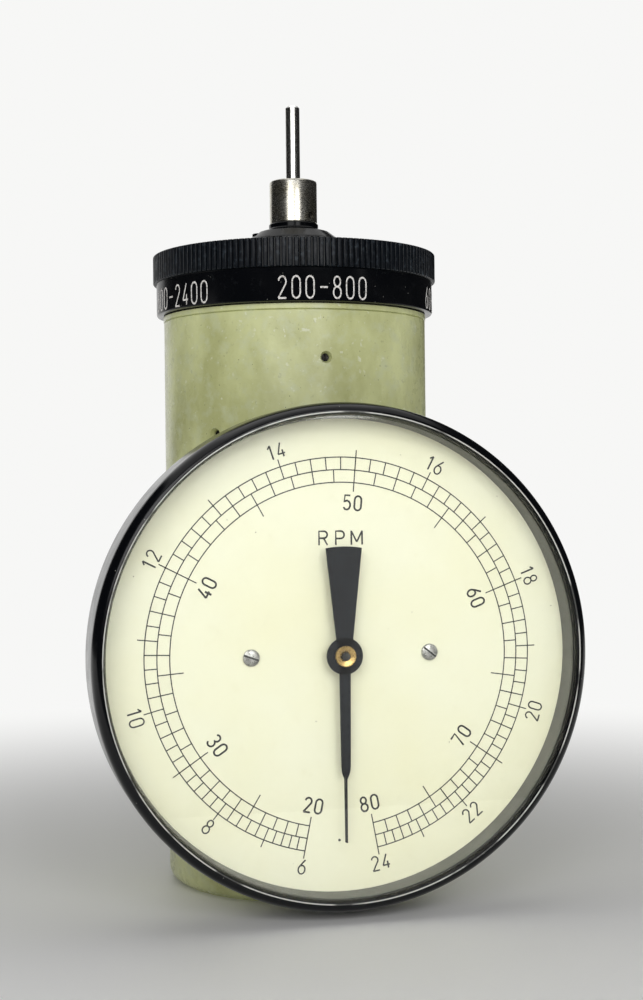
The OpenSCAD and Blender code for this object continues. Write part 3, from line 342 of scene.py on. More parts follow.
# Engraver's numerals: strokes in a box 1 high, with round bowls
GLYPHS = {
    "0": [arc(0.24, 0.74, 0.24, 0.26, 0, 180) + arc(0.24, 0.26, 0.24, 0.26, 180, 360)
          + [(0.48, 0.74)]],
    "1": [[(0.06, 0.78), (0.26, 1)], [(0.26, 1), (0.26, 0)]],
    "2": [arc(0.24, 0.75, 0.23, 0.25, 170, -25) + [(0, 0)], [(0, 0), (0.48, 0)]],
    "3": [arc(0.23, 0.76, 0.22, 0.24, 150, -90) + arc(0.23, 0.26, 0.25, 0.26, 90, -155)],
    "4": [[(0.34, 1), (0, 0.24)], [(0, 0.24), (0.5, 0.24)], [(0.36, 0.5), (0.36, 0)]],
    "5": [[(0.44, 1), (0.06, 1), (0.03, 0.56)] + arc(0.23, 0.32, 0.25, 0.32, 125, -150)],
    "6": [[(0.4, 1), (0.16, 0.66)] + arc(0.24, 0.3, 0.24, 0.3, 150, 510, 14)],
    "7": [[(0, 1), (0.48, 1), (0.18, 0)]],
    "8": [arc(0.24, 0.27, 0.24, 0.27, -90, 270, 14), arc(0.24, 0.765, 0.2, 0.235, -90, 270, 14)],
    "9": [[(0.08, 0), (0.32, 0.34)] + arc(0.24, 0.7, 0.24, 0.3, -30, 330, 14)],
    "-": [[(0.02, 0.5), (0.48, 0.5)]],
    "R": [[(0, 0), (0, 1), (0.36, 1)] + arc(0.36, 0.75, 0.25, 0.25, 90, -90) + [(0, 0.5)],
          [(0.34, 0.5), (0.62, 0)]],
    "P": [[(0, 0), (0, 1), (0.36, 1)] + arc(0.36, 0.73, 0.26, 0.27, 90, -90) + [(0, 0.46)]],
    "M": [[(0, 0), (0, 1)], [(0, 1), (0.4, 0.2)], [(0.4, 0.2), (0.8, 1)], [(0.8, 1), (0.8, 0)]],
}
GLYPH_WIDTHS = {"1": 0.32, "R": 0.62, "P": 0.62, "M": 0.8}


def glyph(letter, height, stroke, depth):
    """One numeral, centred on the origin in the XZ plane and facing -Y."""
    curve = bpy.data.curves.new("glyph", "CURVE")
    curve.dimensions = "3D"
    curve.bevel_depth = stroke / 2
    curve.bevel_resolution = 1
    curve.use_fill_caps = True
    width = GLYPH_WIDTHS.get(letter, 0.48)
    for points in GLYPHS[letter]:
        spline = curve.splines.new("POLY")
        spline.points.add(len(points) - 1)
        for target, (x, z) in zip(spline.points, points):
            target.co = ((x - width / 2) * height, 0, (z - 0.5) * height, 1)
    obj = bpy.data.objects.new("glyph", curve)
    bpy.context.collection.objects.link(obj)
    pick(obj)
    bpy.ops.object.convert(target="MESH")
    obj = bpy.context.object
    obj.scale = (1, depth / stroke, 1)
    return settle(obj)


GLYPH_CACHE = {}


def glyph_copy(letter, height, stroke, depth, matrix):
    """A copy of a numeral that is modelled once for each size."""
    key = (letter, height, stroke)
    if key not in GLYPH_CACHE:
        GLYPH_CACHE[key] = glyph(letter, height, stroke, depth)
    return copy_of(GLYPH_CACHE[key], matrix)


def drop_masters():
    """Deletes the numerals that were only copied."""
    if GLYPH_CACHE:
        remove(*GLYPH_CACHE.values())
        GLYPH_CACHE.clear()


# Finishes


class Finish:
    """A material on Object coordinates with one Principled shader."""

    def __init__(self, name, colour, metallic=0.0, roughness=0.4):
        self.material = bpy.data.materials.new(name)
        self.material.use_nodes = True
        self.tree = self.material.node_tree
        self.shader = self.tree.nodes["Principled BSDF"]
        self.set("Base Color", (*colour, 1))
        self.set("Metallic", metallic)
        self.set("Roughness", roughness)
        self.coordinates = self.node("TexCoord").outputs["Object"]

    def set(self, socket, value):
        self.shader.inputs[socket].default_value = value

    def link(self, source, target):
        self.tree.links.new(source, target)

    def node(self, kind, values=None, operation=None):
        """A new node of that kind, with some of its inputs set."""
        node = self.tree.nodes.new("ShaderNode" + kind)
        if operation:
            node.operation = operation
        for socket, value in (values or {}).items():
            node.inputs[socket].default_value = value
        return node

    def noise(self, size, detail, stretch=(1, 1, 1)):
        """Noise with blobs of about that size in metres, stretched by three numbers."""
        mapping = self.node("Mapping", {"Scale": stretch})
        node = self.node("TexNoise", {"Scale": 1 / size, "Detail": detail, "Roughness": 0.55})
        self.link(self.coordinates, mapping.inputs["Vector"])
        self.link(mapping.outputs["Vector"], node.inputs["Vector"])
        return node.outputs["Fac"]

    def spots(self, size, threshold):
        """1 in small scattered dots and 0 between them."""
        node = self.node("TexVoronoi", {"Scale": 1 / size})
        self.link(self.coordinates, node.inputs["Vector"])
        return self.ramp(node.outputs["Distance"], threshold * 0.7, threshold, 1, 0)

    def ramp(self, source, low, high, out_low=0.0, out_high=1.0):
        """Maps a value from one range to another, held at its ends."""
        ends = {"From Min": low, "From Max": high, "To Min": out_low, "To Max": out_high}
        node = self.node("MapRange", ends)
        self.link(source, node.inputs["Value"])
        return node.outputs["Result"]

    def mix(self, factor, first, second):
        """A colour between two, each given as a colour or a socket."""
        node = self.node("Mix")
        node.data_type = "RGBA"
        self.link(factor, node.inputs["Factor"])
        for socket, colour in ((node.inputs[6], first), (node.inputs[7], second)):
            if isinstance(colour, bpy.types.NodeSocket):
                self.link(colour, socket)
            else:
                socket.default_value = (*colour, 1)
        return node.outputs[2]

    def over(self, tone, colour, size, detail, low, high, amount):
        """Lays a colour over a tone in blobs of that size."""
        blobs = self.ramp(self.noise(size, detail), low, high, 0, amount)
        return self.mix(blobs, tone, colour)

    def band(self, centre, radius, width):
        """1 near a circle about an axis along Y, 0 elsewhere."""
        away = self.node("VectorMath", {1: centre}, "SUBTRACT")
        flat = self.node("VectorMath", {1: (1, 0, 1)}, "MULTIPLY")
        length = self.node("VectorMath", operation="LENGTH")
        near = self.node("Math", {1: radius, 2: width}, "COMPARE")
        self.link(self.coordinates, away.inputs[0])
        self.link(away.outputs[0], flat.inputs[0])
        self.link(flat.outputs[0], length.inputs[0])
        self.link(length.outputs["Value"], near.inputs[0])
        return near.outputs[0]

    def colour(self, source):
        self.link(source, self.shader.inputs["Base Color"])

    def tones(self, size, first, second, low=0.4, high=0.7, stretch=(1, 1, 1)):
        """Colours the surface with two tones in blobs of that size."""
        blobs = self.ramp(self.noise(size, 4, stretch), low, high)
        self.colour(self.mix(blobs, first, second))

    def gloss(self, size, low, high, stretch=(1, 1, 1), detail=3):
        """Roughness that wanders between two values."""
        wander = self.ramp(self.noise(size, detail, stretch), 0.3, 0.7, low, high)
        self.link(wander, self.shader.inputs["Roughness"])

    def grain(self, size, height, strength, stretch=(1, 1, 1), detail=2):
        """Relief of that size and height, in metres."""
        node = self.node("Bump", {"Strength": strength, "Distance": height})
        self.link(self.noise(size, detail, stretch), node.inputs["Height"])
        self.link(node.outputs["Normal"], self.shader.inputs["Normal"])


FINISHES = {}


def body_paint():
    """Mottled paint with pale flecks, painted glints (small painted highlights), grime and a few
    dark specks.
    """
    colours = bpy.context.scene.tacho_body
    f = Finish("body_paint", colours.light, roughness=0.3)
    clouds = f.ramp(f.noise(15 * MM, 4, (1, 1, 0.6)), 0.38, 0.62, 0.35, 1)
    tone = f.mix(clouds, colours.dark, colours.light)
    tone = f.over(tone, (0.56, 0.60, 0.40), 3.2 * MM, 5, 0.5, 0.72, 0.6)
    # Whitish small blobs: painted glints, a painted highlight laid into the paint's colour
    tone = f.over(tone, (0.78, 0.80, 0.66), 1.5 * MM, 6, 0.64, 0.70, 0.5)
    tone = f.over(tone, (0.20, 0.21, 0.11), 1.1 * MM, 5, 0.63, 0.74, 0.4)
    f.colour(f.mix(f.spots(2.4 * MM, 0.05), tone, (0.05, 0.05, 0.03)))
    f.gloss(2.4 * MM, 0.2, 0.4, detail=4)
    f.grain(2.6 * MM, 0.16 * MM, 0.6, detail=3)
    f.set("Coat Weight", 0.55)
    f.set("Coat Roughness", 0.34)
    f.set("Specular IOR Level", 0.2)
    return f.material


def black_enamel():
    """Glossy black with dust and pale specks."""
    colour = bpy.context.scene.tacho_ring.enamel
    f = Finish("black_enamel", colour, roughness=0.2)
    f.set("Specular IOR Level", 0.14)
    tone = f.over(colour, (0.02, 0.023, 0.026), 1.4 * MM, 5, 0.6, 0.8, 0.35)
    f.colour(f.mix(f.spots(2.1 * MM, 0.045), tone, (0.25, 0.25, 0.23)))
    f.gloss(5 * MM, 0.13, 0.24, detail=4)
    f.grain(3.5 * MM, 0.006 * MM, 0.3)
    return f.material


def bezel_enamel():
    """Black enamel with a bright line painted along its crest as a highlight."""
    colour = bpy.context.scene.tacho_ring.enamel
    f = Finish("bezel_enamel", colour, roughness=0.16)
    f.set("Specular IOR Level", 0.3)
    # A bright line painted along the crest as a highlight, broken up by noise; it is painted light,
    # not wear
    crest = f.band(DIAL_CENTRE, CREST_R - 0.05 * MM, 0.13 * MM)
    line = f.mix(crest, (0, 0, 0), (1, 1, 1))
    crest_highlight = f.mix(f.ramp(f.noise(9 * MM, 3), 0.38, 0.5, 0.15, 1), (0, 0, 0), line)
    tone = f.over(colour, (0.02, 0.023, 0.026), 1.2 * MM, 5, 0.62, 0.8, 0.35)
    tone = f.mix(f.spots(2.6 * MM, 0.05), tone, (0.22, 0.22, 0.20))
    f.colour(f.mix(crest_highlight, tone, (0.62, 0.62, 0.58)))
    f.gloss(4 * MM, 0.12, 0.22, detail=4)
    f.grain(3.5 * MM, 0.004 * MM, 0.3)
    return f.material


def rib_enamel():
    colour = bpy.context.scene.tacho_ring.enamel
    f = Finish("rib_enamel", colour, roughness=0.36)
    f.set("Specular IOR Level", 0.25)
    f.colour(f.over((0.004, 0.006, 0.009), (0.05, 0.065, 0.08), 1.3 * MM, 5, 0.55, 0.75, 0.6))
    f.gloss(0.8 * MM, 0.28, 0.5)
    f.grain(0.6 * MM, 0.01 * MM, 0.5)
    return f.material


def dial_enamel():
    colour = bpy.context.scene.tacho_dial.enamel
    f = Finish("dial_enamel", colour, roughness=0.42)
    tone = f.over(colour, (0.67, 0.66, 0.46), 34 * MM, 3, 0.4, 0.7, 0.8)
    tone = f.over(tone, (0.60, 0.58, 0.40), 2.2 * MM, 4, 0.58, 0.78, 0.25)
    f.colour(f.mix(f.spots(5.2 * MM, 0.028), tone, (0.14, 0.12, 0.07)))
    f.gloss(3 * MM, 0.36, 0.5)
    f.grain(1.2 * MM, 0.004 * MM, 0.3)
    return f.material


def dial_ink():
    colour = bpy.context.scene.tacho_dial.ink
    f = Finish("dial_ink", colour, roughness=0.5)
    f.colour(f.over(colour, (0.02, 0.021, 0.019), 0.6 * MM, 4, 0.5, 0.75, 0.5))
    f.gloss(0.5 * MM, 0.42, 0.6)
    return f.material


def numeral_white():
    f = Finish("numeral_white", (0.78, 0.76, 0.72), roughness=0.55)
    f.tones(0.42 * MM, (0.82, 0.80, 0.77), (0.34, 0.31, 0.29), 0.5, 0.64)
    f.gloss(0.3 * MM, 0.45, 0.7)
    return f.material


def pointer_black():
    f = Finish("pointer_enamel", (0.010, 0.013, 0.019), roughness=0.5)
    f.set("Specular IOR Level", 0.15)
    f.tones(3 * MM, (0.002, 0.003, 0.005), (0.006, 0.008, 0.011))
    f.gloss(0.7 * MM, 0.4, 0.6)
    f.grain(0.5 * MM, 0.004 * MM, 0.4)
    return f.material


def clear_glass():
    """Glass that lets the lamps' light through to the dial."""
    f = Finish("clear_glass", (1.0, 1.0, 0.99), roughness=0.02)
    f.set("Transmission Weight", 1.0)
    f.set("IOR", 1.45)
    path = f.node("LightPath")
    clear = f.node("BsdfTransparent", {"Color": (0.96, 0.97, 0.96, 1)})
    shadow = path.outputs["Is Shadow Ray"]
    mix_shaders(f.tree, shadow, f.shader.outputs[0], clear.outputs[0], "Material Output")
    return f.material


def mix_shaders(tree, factor, first, second, output):
    """Shows the first shader where the factor is 0 and the second where it is 1."""
    mixed = tree.nodes.new("ShaderNodeMixShader")
    for source, socket in zip((factor, first, second), mixed.inputs):
        tree.links.new(source, socket)
    tree.links.new(mixed.outputs[0], tree.nodes[output].inputs["Surface"])


def plain(name, colour, metallic, roughness, tones, gloss, grain):
    """A maker of a finish that needs no more than tones, a gloss and a grain."""

    def make():
        f = Finish(name, colour, metallic=metallic, roughness=roughness)
        f.tones(*tones)
        f.gloss(*gloss)
        f.grain(*grain)
        return f.material

    return make


# Makers of the finishes, by the slot or the use that they serve
MAKERS = {
    "body_paint": body_paint,
    "black_gloss": black_enamel,
    "nickel": plain(
        "worn_nickel", (0.74, 0.71, 0.63), 1.0, 0.24,
        (2.4 * MM, (0.72, 0.70, 0.63), (0.48, 0.44, 0.33), 0.42, 0.7, (1, 1, 0.6)),
        (0.7 * MM, 0.18, 0.34, (1, 1, 6)), (0.4 * MM, 0.004 * MM, 0.5, (1, 1, 5)),
    ),
    "steel": plain(
        "bright_steel", (0.66, 0.66, 0.64), 1.0, 0.2,
        (1.8 * MM, (0.72, 0.72, 0.70), (0.54, 0.53, 0.49)),
        (0.5 * MM, 0.14, 0.3, (1, 1, 4)), (0.25 * MM, 0.003 * MM, 0.5, (1, 1, 6)),
    ),
    "screw_steel": plain(
        "screw_steel", (0.34, 0.34, 0.33), 1.0, 0.3,
        (0.9 * MM, (0.42, 0.42, 0.40), (0.20, 0.20, 0.19)),
        (0.3 * MM, 0.22, 0.42), (0.2 * MM, 0.004 * MM, 0.5),
    ),
    "brass": plain(
        "brass", (0.58, 0.41, 0.17), 1.0, 0.26,
        (1.6 * MM, (0.52, 0.36, 0.14), (0.32, 0.21, 0.07), 0.38, 0.7),
        (0.6 * MM, 0.2, 0.36), (0.3 * MM, 0.003 * MM, 0.5),
    ),
    "bronze": plain(
        "bearing_bronze", (0.55, 0.36, 0.19), 1.0, 0.35,
        (2 * MM, (0.58, 0.40, 0.22), (0.42, 0.27, 0.14)),
        (0.5 * MM, 0.28, 0.46), (0.3 * MM, 0.004 * MM, 0.5),
    ),
    "dial_white": dial_enamel,
    "pointer_black": pointer_black,
    "glass": clear_glass,
    "gasket": plain(
        "black_rubber", (0.02, 0.02, 0.02), 0.0, 0.75,
        (1 * MM, (0.02, 0.02, 0.02), (0.045, 0.044, 0.042)),
        (0.6 * MM, 0.65, 0.85), (0.5 * MM, 0.01 * MM, 0.5),
    ),
    "ring_grey": plain(
        "grey_satin_paint", (0.15, 0.15, 0.135), 0.0, 0.5,
        (9 * MM, (0.12, 0.121, 0.108), (0.085, 0.085, 0.075), 0.35, 0.7),
        (1.2 * MM, 0.42, 0.6), (0.8 * MM, 0.008 * MM, 0.4),
    ),
    "spring_steel": plain(
        "blued_spring_steel", (0.22, 0.25, 0.32), 1.0, 0.3,
        (1.5 * MM, (0.26, 0.29, 0.36), (0.16, 0.17, 0.22)),
        (0.5 * MM, 0.22, 0.4), (0.3 * MM, 0.003 * MM, 0.4),
    ),
    "ink": dial_ink,
    "numerals": numeral_white,
    "ribs": rib_enamel,
    "bezel": bezel_enamel,
    "dark_screw": plain(
        "dark_screw", (0.03, 0.03, 0.028), 0.6, 0.5,
        (0.7 * MM, (0.012, 0.012, 0.011), (0.07, 0.065, 0.055)),
        (0.4 * MM, 0.4, 0.65), (0.3 * MM, 0.006 * MM, 0.5),
    ),
}
# Nodes whose finish differs from that of their slot
OWN_FINISH = {
    "body_screws": "dark_screw",
    "collar_screw": "dark_screw",
    "pointer_arbor": "dark_screw",
    "bezel": "bezel",
}


def finish(name):
    """The named finish, made when it is first asked for."""
    if name not in FINISHES:
        FINISHES[name] = MAKERS[name]()
    return FINISHES[name]


def dress(obj, finish_name, body, nodes=()):
    """Gives a new piece its finish, body and slot, and lets it stand for its nodes."""
    obj.data.materials.clear()
    obj.data.materials.append(finish(finish_name))
    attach(obj, body)
    if nodes:
        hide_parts(*nodes)


# Operators, one for each piece or group of like pieces


class TACHO_OT_finishes(bpy.types.Operator):
    """Gives every node of the frame its detailed finish"""

    bl_idname = "tacho.finishes"
    bl_label = "Finishes"

    def execute(self, context):
        for part in frame["record"]["subparts"]:
            node = frame["nodes"][part["node"]]
            for slot in node.material_slots:
                slot.material = finish(OWN_FINISH.get(part["node"], part["material_slot"]))
        return {"FINISHED"}


class TACHO_OT_bezel(bpy.types.Operator):
    """Turns the bezel with its rounded shoulder and crest, on which its finish paints a bright
    highlight line
    """

    bl_idname = "tacho.bezel"
    bl_label = "Bezel"

    def execute(self, context):
        outer = (BEZEL_HIGH.x - BEZEL_LOW.x) / 2
        crest = DIAL_CENTRE.y - BEZEL_LOW.y
        back = DIAL_CENTRE.y - BEZEL_HIGH.y
        round_high, lip_r, chamfer = 3.3 * MM, 52.96 * MM, 0.3 * MM
        round_wide, rim = round_high * 0.7, outer - 0.02 * MM
        inner, under = outer - 1.15 * MM, crest - 1.5 * MM
        profile = [(inner, back), (outer - chamfer, back), (rim, back + chamfer)]
        profile += [
            (rim - round_wide * (1 - math.cos(a)), crest - round_high * (1 - math.sin(a)))
            for a in [math.radians(d) for d in range(0, 91, 9)]
        ]
        profile += [
            (CREST_R - 0.12 * MM, crest - 0.03 * MM),
            (CREST_R - 0.24 * MM, crest - 0.14 * MM),
            (lip_r, under + 0.25 * MM),
            (lip_r, under),
            (inner, under),
        ]
        bezel = lathe("bezel_rim", profile, 320, "Y", DIAL_CENTRE)
        smooth(bezel, 32)
        dress(bezel, "bezel", "housing", ["bezel"])
        return {"FINISHED"}


def scale_angle(value):
    """Clockwise angle from the top for a value on the outer scale, in radians."""
    knots = {
        6: -168.5, 7: -155.8, 8: -140.2, 9: -123.8, 10: -104.6, 11: -84.1, 12: -62.7,
        13: -40.4, 14: -17.8, 15: 5.0, 16: 27.7, 17: 48.5, 18: 69.2, 19: 89.1, 20: 107.6,
        21: 124.65, 22: 140.55, 23: 155.7, 24: 169.6,
    }
    low = min(max(int(math.floor(value)), OUTER_FIRST), OUTER_LAST - 1)
    share = value - low
    before = knots.get(low - 1, 2 * knots[low] - knots[low + 1])
    after = knots.get(low + 2, 2 * knots[low + 1] - knots[low])
    start, end = knots[low], knots[low + 1]
    slope_a, slope_b = (end - before) / 2, (after - start) / 2
    s2, s3 = share**2, share**3
    degrees = (
        (2 * s3 - 3 * s2 + 1) * start
        + (s3 - 2 * s2 + share) * slope_a
        + (3 * s2 - 2 * s3) * end
        + (s3 - s2) * slope_b
    )
    return math.radians(degrees)


def dial_turn(angle):
    """A turn about the dial's axis, clockwise as the dial is read."""
    return turn_about(DIAL_CENTRE, angle)


class TACHO_OT_dial_marks(bpy.types.Operator):
    """Prints the two scales, their circles and the zero dot"""

    bl_idname = "tacho.dial_marks"
    bl_label = "Dial marks"

    def execute(self, context):
        sizes = context.scene.tacho_dial
        width, depth = sizes.line_width, 0.03 * MM
        outer, middle, inner = sizes.outer_circle, sizes.middle_circle, sizes.inner_circle
        first = scale_angle(OUTER_FIRST)
        span = scale_angle(OUTER_LAST) - first
        marks = []
        unit = block((1, 1, 1), (0, 0, 0))
        circle_steps, overlap = 240, 1.02
        number_tick, inner_tick, fifth_tick = 1.7 * MM, 2.0 * MM, 2.9 * MM
        dot_r, dot_x, dot_up = 0.3 * MM, -0.85 * MM, -41.2 * MM

        def line(angle, radius, across, along):
            size = Matrix.Diagonal((across, depth, along, 1))
            place = Matrix.Translation(place_on_dial(0, radius, depth / 2))
            marks.append(copy_of(unit, dial_turn(angle) @ place @ size))

        def tick(angle, low, high):
            line(angle, (low + high) / 2, width, high - low)

        for i in range(5 * (OUTER_LAST - OUTER_FIRST) + 1):
            if i % 5:
                tick(scale_angle(OUTER_FIRST + i * 0.2), middle, outer)
        for value in range(OUTER_FIRST, OUTER_LAST + 1):
            tick(scale_angle(value), middle, outer + number_tick)
        for value in range(INNER_FIRST, INNER_LAST + 1):
            low, high = inner, middle
            if value % 10 == 0:
                low, high = inner - inner_tick, outer + number_tick
            elif value % 5 == 0:
                low = inner - fifth_tick
            tick(scale_angle(value * INNER_RATIO), low, high)
        for radius in (outer, middle, inner):
            length = span * radius / circle_steps * overlap
            for i in range(circle_steps):
                line(first + span * (i + 0.5) / circle_steps, radius, length, width)
        deselect()
        bpy.ops.mesh.primitive_cylinder_add(
            vertices=24, radius=dot_r, depth=depth, rotation=(math.pi / 2, 0, 0),
            location=place_on_dial(dot_x, dot_up, depth / 2),
        )
        marks.append(settle(bpy.context.object))
        remove(unit)
        printed = join(marks, "scale_marks")
        dress(printed, "ink", "housing")
        return {"FINISHED"}


class TACHO_OT_dial_numbers(bpy.types.Operator):
    """Prints the numbers of both scales and the unit"""

    bl_idname = "tacho.dial_numbers"
    bl_label = "Dial numbers"

    def execute(self, context):
        sizes = context.scene.tacho_dial
        height, lift, depth = sizes.number_height, 0.02 * MM, 0.09 * MM
        outer_ring = {"radius": 47.55 * MM, "stroke": 0.38 * MM, "pitch": 2.45 * MM}
        inner_ring = {"radius": 33.9 * MM, "stroke": 0.48 * MM, "pitch": 2.5 * MM}
        unit_up, unit_pitch, unit_height, unit_stroke = 26.0 * MM, 3.85 * MM, 3.1 * MM, 0.40 * MM
        placed = []

        def number(text, angle, radius, stroke, pitch):
            heads_in = abs(math.degrees(angle)) > 90
            turn = angle - math.copysign(math.pi, angle) if heads_in else angle
            shift = Matrix.Translation((0, 0, -radius if heads_in else radius))
            for i, letter in enumerate(text):
                offset = (i - (len(text) - 1) / 2) * pitch
                move = Matrix.Translation(place_on_dial(offset, 0, lift))
                matrix = dial_turn(turn) @ shift @ move
                placed.append(glyph_copy(letter, height, stroke, depth, matrix))

        for value in range(OUTER_FIRST, OUTER_LAST + 1, 2):
            number(str(value), scale_angle(value), **outer_ring)
        for value in range(INNER_FIRST, INNER_LAST + 1, 10):
            number(str(value), scale_angle(value * INNER_RATIO), **inner_ring)
        for i, letter in enumerate("RPM"):
            at = Matrix.Translation(place_on_dial((i - 1) * unit_pitch, unit_up, lift))
            placed.append(glyph_copy(letter, unit_height, unit_stroke, depth, at))
        printed = join(placed, "scale_numbers")
        drop_masters()
        dress(printed, "ink", "housing")
        return {"FINISHED"}


class TACHO_OT_dial_screws(bpy.types.Operator):
    """Models the two slotted dial screws, with a dark block in each slot as painted shade"""

    bl_idname = "tacho.dial_screws"
    bl_label = "Dial screws"

    def execute(self, context):
        radius, head, slot_w = 1.85 * MM, 0.95 * MM, 0.42 * MM
        sunk, rim, slot_shade_depth = 0.3 * MM, head * 0.55, 0.12 * MM
        heads = []
        low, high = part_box("dial_screws")
        across = (high.x - low.x) / 2 - radius
        for side, turn in ((-1, 20), (1, 38)):
            centre = place_on_dial(side * across, 0, 0)
            profile = [(0, -sunk), (radius, -sunk), (radius, rim)]
            profile += [
                (radius * math.sin(a), rim + (head - rim) * math.cos(a))
                for a in [math.radians(d) for d in (75, 60, 45, 30, 15, 0)]
            ]
            screw = lathe("screw", profile, 48, "Y", centre)
            cutter = block((3 * radius, head, slot_w), centre + Vector((0, -head, 0)))
            slot_turn = turn_about(centre, math.radians(turn))
            cutter.data.transform(slot_turn)
            cut_away(screw, cutter)
            smooth(screw, 30)
            # A dark block in the slot, coloured with the ink finish: painted shade in the slot's
            # recess
            slot_shade = block(
                (2 * radius * 0.96, slot_shade_depth, slot_w * 0.98), centre + Vector((0, -head * 0.5, 0))
            )
            slot_shade.data.transform(slot_turn)
            slot_shade.data.materials.append(finish("ink"))
            screw.data.materials.append(finish("screw_steel"))
            heads += [slot_shade, screw]
        screws = join(heads, "dial_screw_heads")
        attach(screws, "housing")
        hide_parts("dial_screws")
        return {"FINISHED"}


class TACHO_OT_pointer(bpy.types.Operator):
    """Models the pointer: hub, fan tail, and an arm that twists on edge"""

    bl_idname = "tacho.pointer"
    bl_label = "Pointer"

    def execute(self, context):
        sizes = context.scene.tacho_pointer
        sheet, hub_r = 0.5 * MM, 4.1 * MM
        front = POINTER_LOW.y
        middle_y = front + sheet / 2
        centre = Vector((0, middle_y, DIAL_CENTRE.z))
        tip = DIAL_CENTRE.z - POINTER_LOW.z
        tail = POINTER_HIGH.z - DIAL_CENTRE.z

        deselect()
        bpy.ops.mesh.primitive_cylinder_add(
            vertices=96, radius=hub_r, depth=sheet, location=centre, rotation=(math.pi / 2, 0, 0)
        )
        hub = settle(bpy.context.object, "hub")

        arm_length = sizes.twist_start
        arm = block((sizes.arm_root, sheet, arm_length), centre - Vector((0, 0, arm_length / 2)))
        for vertex in arm.data.vertices:
            if vertex.co.z < centre.z - arm_length / 2:
                vertex.co.x *= sizes.arm_end / sizes.arm_root
        choose(arm, "FACE", lambda face: face.normal.z < -0.9)
        steps, twist = 8, math.radians(86)
        z = centre.z - arm_length
        for _ in range(steps):
            z -= sizes.twist_length / steps
            bpy.ops.mesh.extrude_region_move(
                TRANSFORM_OT_translate={"value": (0, 0, -sizes.twist_length / steps)}
            )
            bpy.ops.transform.rotate(
                value=twist / steps, orient_axis="Z", orient_type="GLOBAL",
                center_override=(0, middle_y, z),
            )
            bpy.ops.transform.resize(value=(0.975, 0.975, 1), center_override=(0, middle_y, z))
        blade = tip - arm_length - sizes.twist_length
        bpy.ops.mesh.extrude_region_move(TRANSFORM_OT_translate={"value": (0, 0, -blade)})
        bpy.ops.transform.resize(value=(0.85, 0.75, 1), center_override=(0, middle_y, z - blade))
        bpy.ops.object.mode_set(mode="OBJECT")
        for vertex in arm.data.vertices:
            vertex.co.y = max(vertex.co.y, front)

        fan = block((sizes.tail_neck, sheet, tail), centre + Vector((0, 0, tail / 2)))

        def lies_across_the_end(edge):
            a, b = (fan.data.vertices[i].co for i in edge.vertices)
            return abs(a.x - b.x) > sheet and min(a.z, b.z) > centre.z

        choose(fan, "EDGE", lies_across_the_end)
        bpy.ops.mesh.subdivide(number_cuts=11)
        bpy.ops.object.mode_set(mode="OBJECT")
        for vertex in fan.data.vertices:
            if vertex.co.z > centre.z + tail / 2:
                vertex.co.x *= sizes.tail_end / sizes.tail_neck
                vertex.co.z = centre.z + math.sqrt(tail**2 - vertex.co.x**2)

        whole = join([fan, arm, hub], "pointer_strip")
        bevel(whole, 0.05 * MM, 1)
        smooth(whole, 25)
        dress(whole, "pointer_black", "pointer_body", ["pointer"])
        return {"FINISHED"}


class TACHO_OT_pointer_boss(bpy.types.Operator):
    """Turns the brass boss with its dished face and the arbor's dark end"""

    bl_idname = "tacho.pointer_boss"
    bl_label = "Pointer boss"

    def execute(self, context):
        radius = (HUB_HIGH.x - HUB_LOW.x) / 2
        top = DIAL_CENTRE.y - HUB_LOW.y
        base = DIAL_CENTRE.y - HUB_HIGH.y
        bore, neck, head = 0.55 * MM, 1.55 * MM, top - 1.1 * MM
        profile = [
            (bore, base),
            (neck, base),
            (neck, head),
            (radius, head),
            (radius, top - 0.18 * MM),
            (radius - 0.18 * MM, top),
            (radius - 0.4 * MM, top - 0.02 * MM),
            (0.95 * MM, top - 0.3 * MM),
            (0.85 * MM, top - 0.55 * MM),
            (bore, top - 0.6 * MM),
        ]
        boss = lathe("brass_boss", profile, 96, "Y", DIAL_CENTRE)
        smooth(boss, 30)
        pivot = lathe(
            "pivot_end",
            [
                (0, top - 1.2 * MM),
                (0.62 * MM, top - 1.2 * MM),
                (0.62 * MM, top - 0.32 * MM),
                (0.5 * MM, top - 0.22 * MM),
                (0.34 * MM, top - 0.24 * MM),
                (0.3 * MM, top - 0.16 * MM),
                (0, top - 0.12 * MM),
            ],
            48, "Y", DIAL_CENTRE,
        )
        smooth(pivot, 30)
        dress(pivot, "bronze", "pointer_body")
        dress(boss, "brass", "pointer_body", ["pointer_boss"])
        return {"FINISHED"}


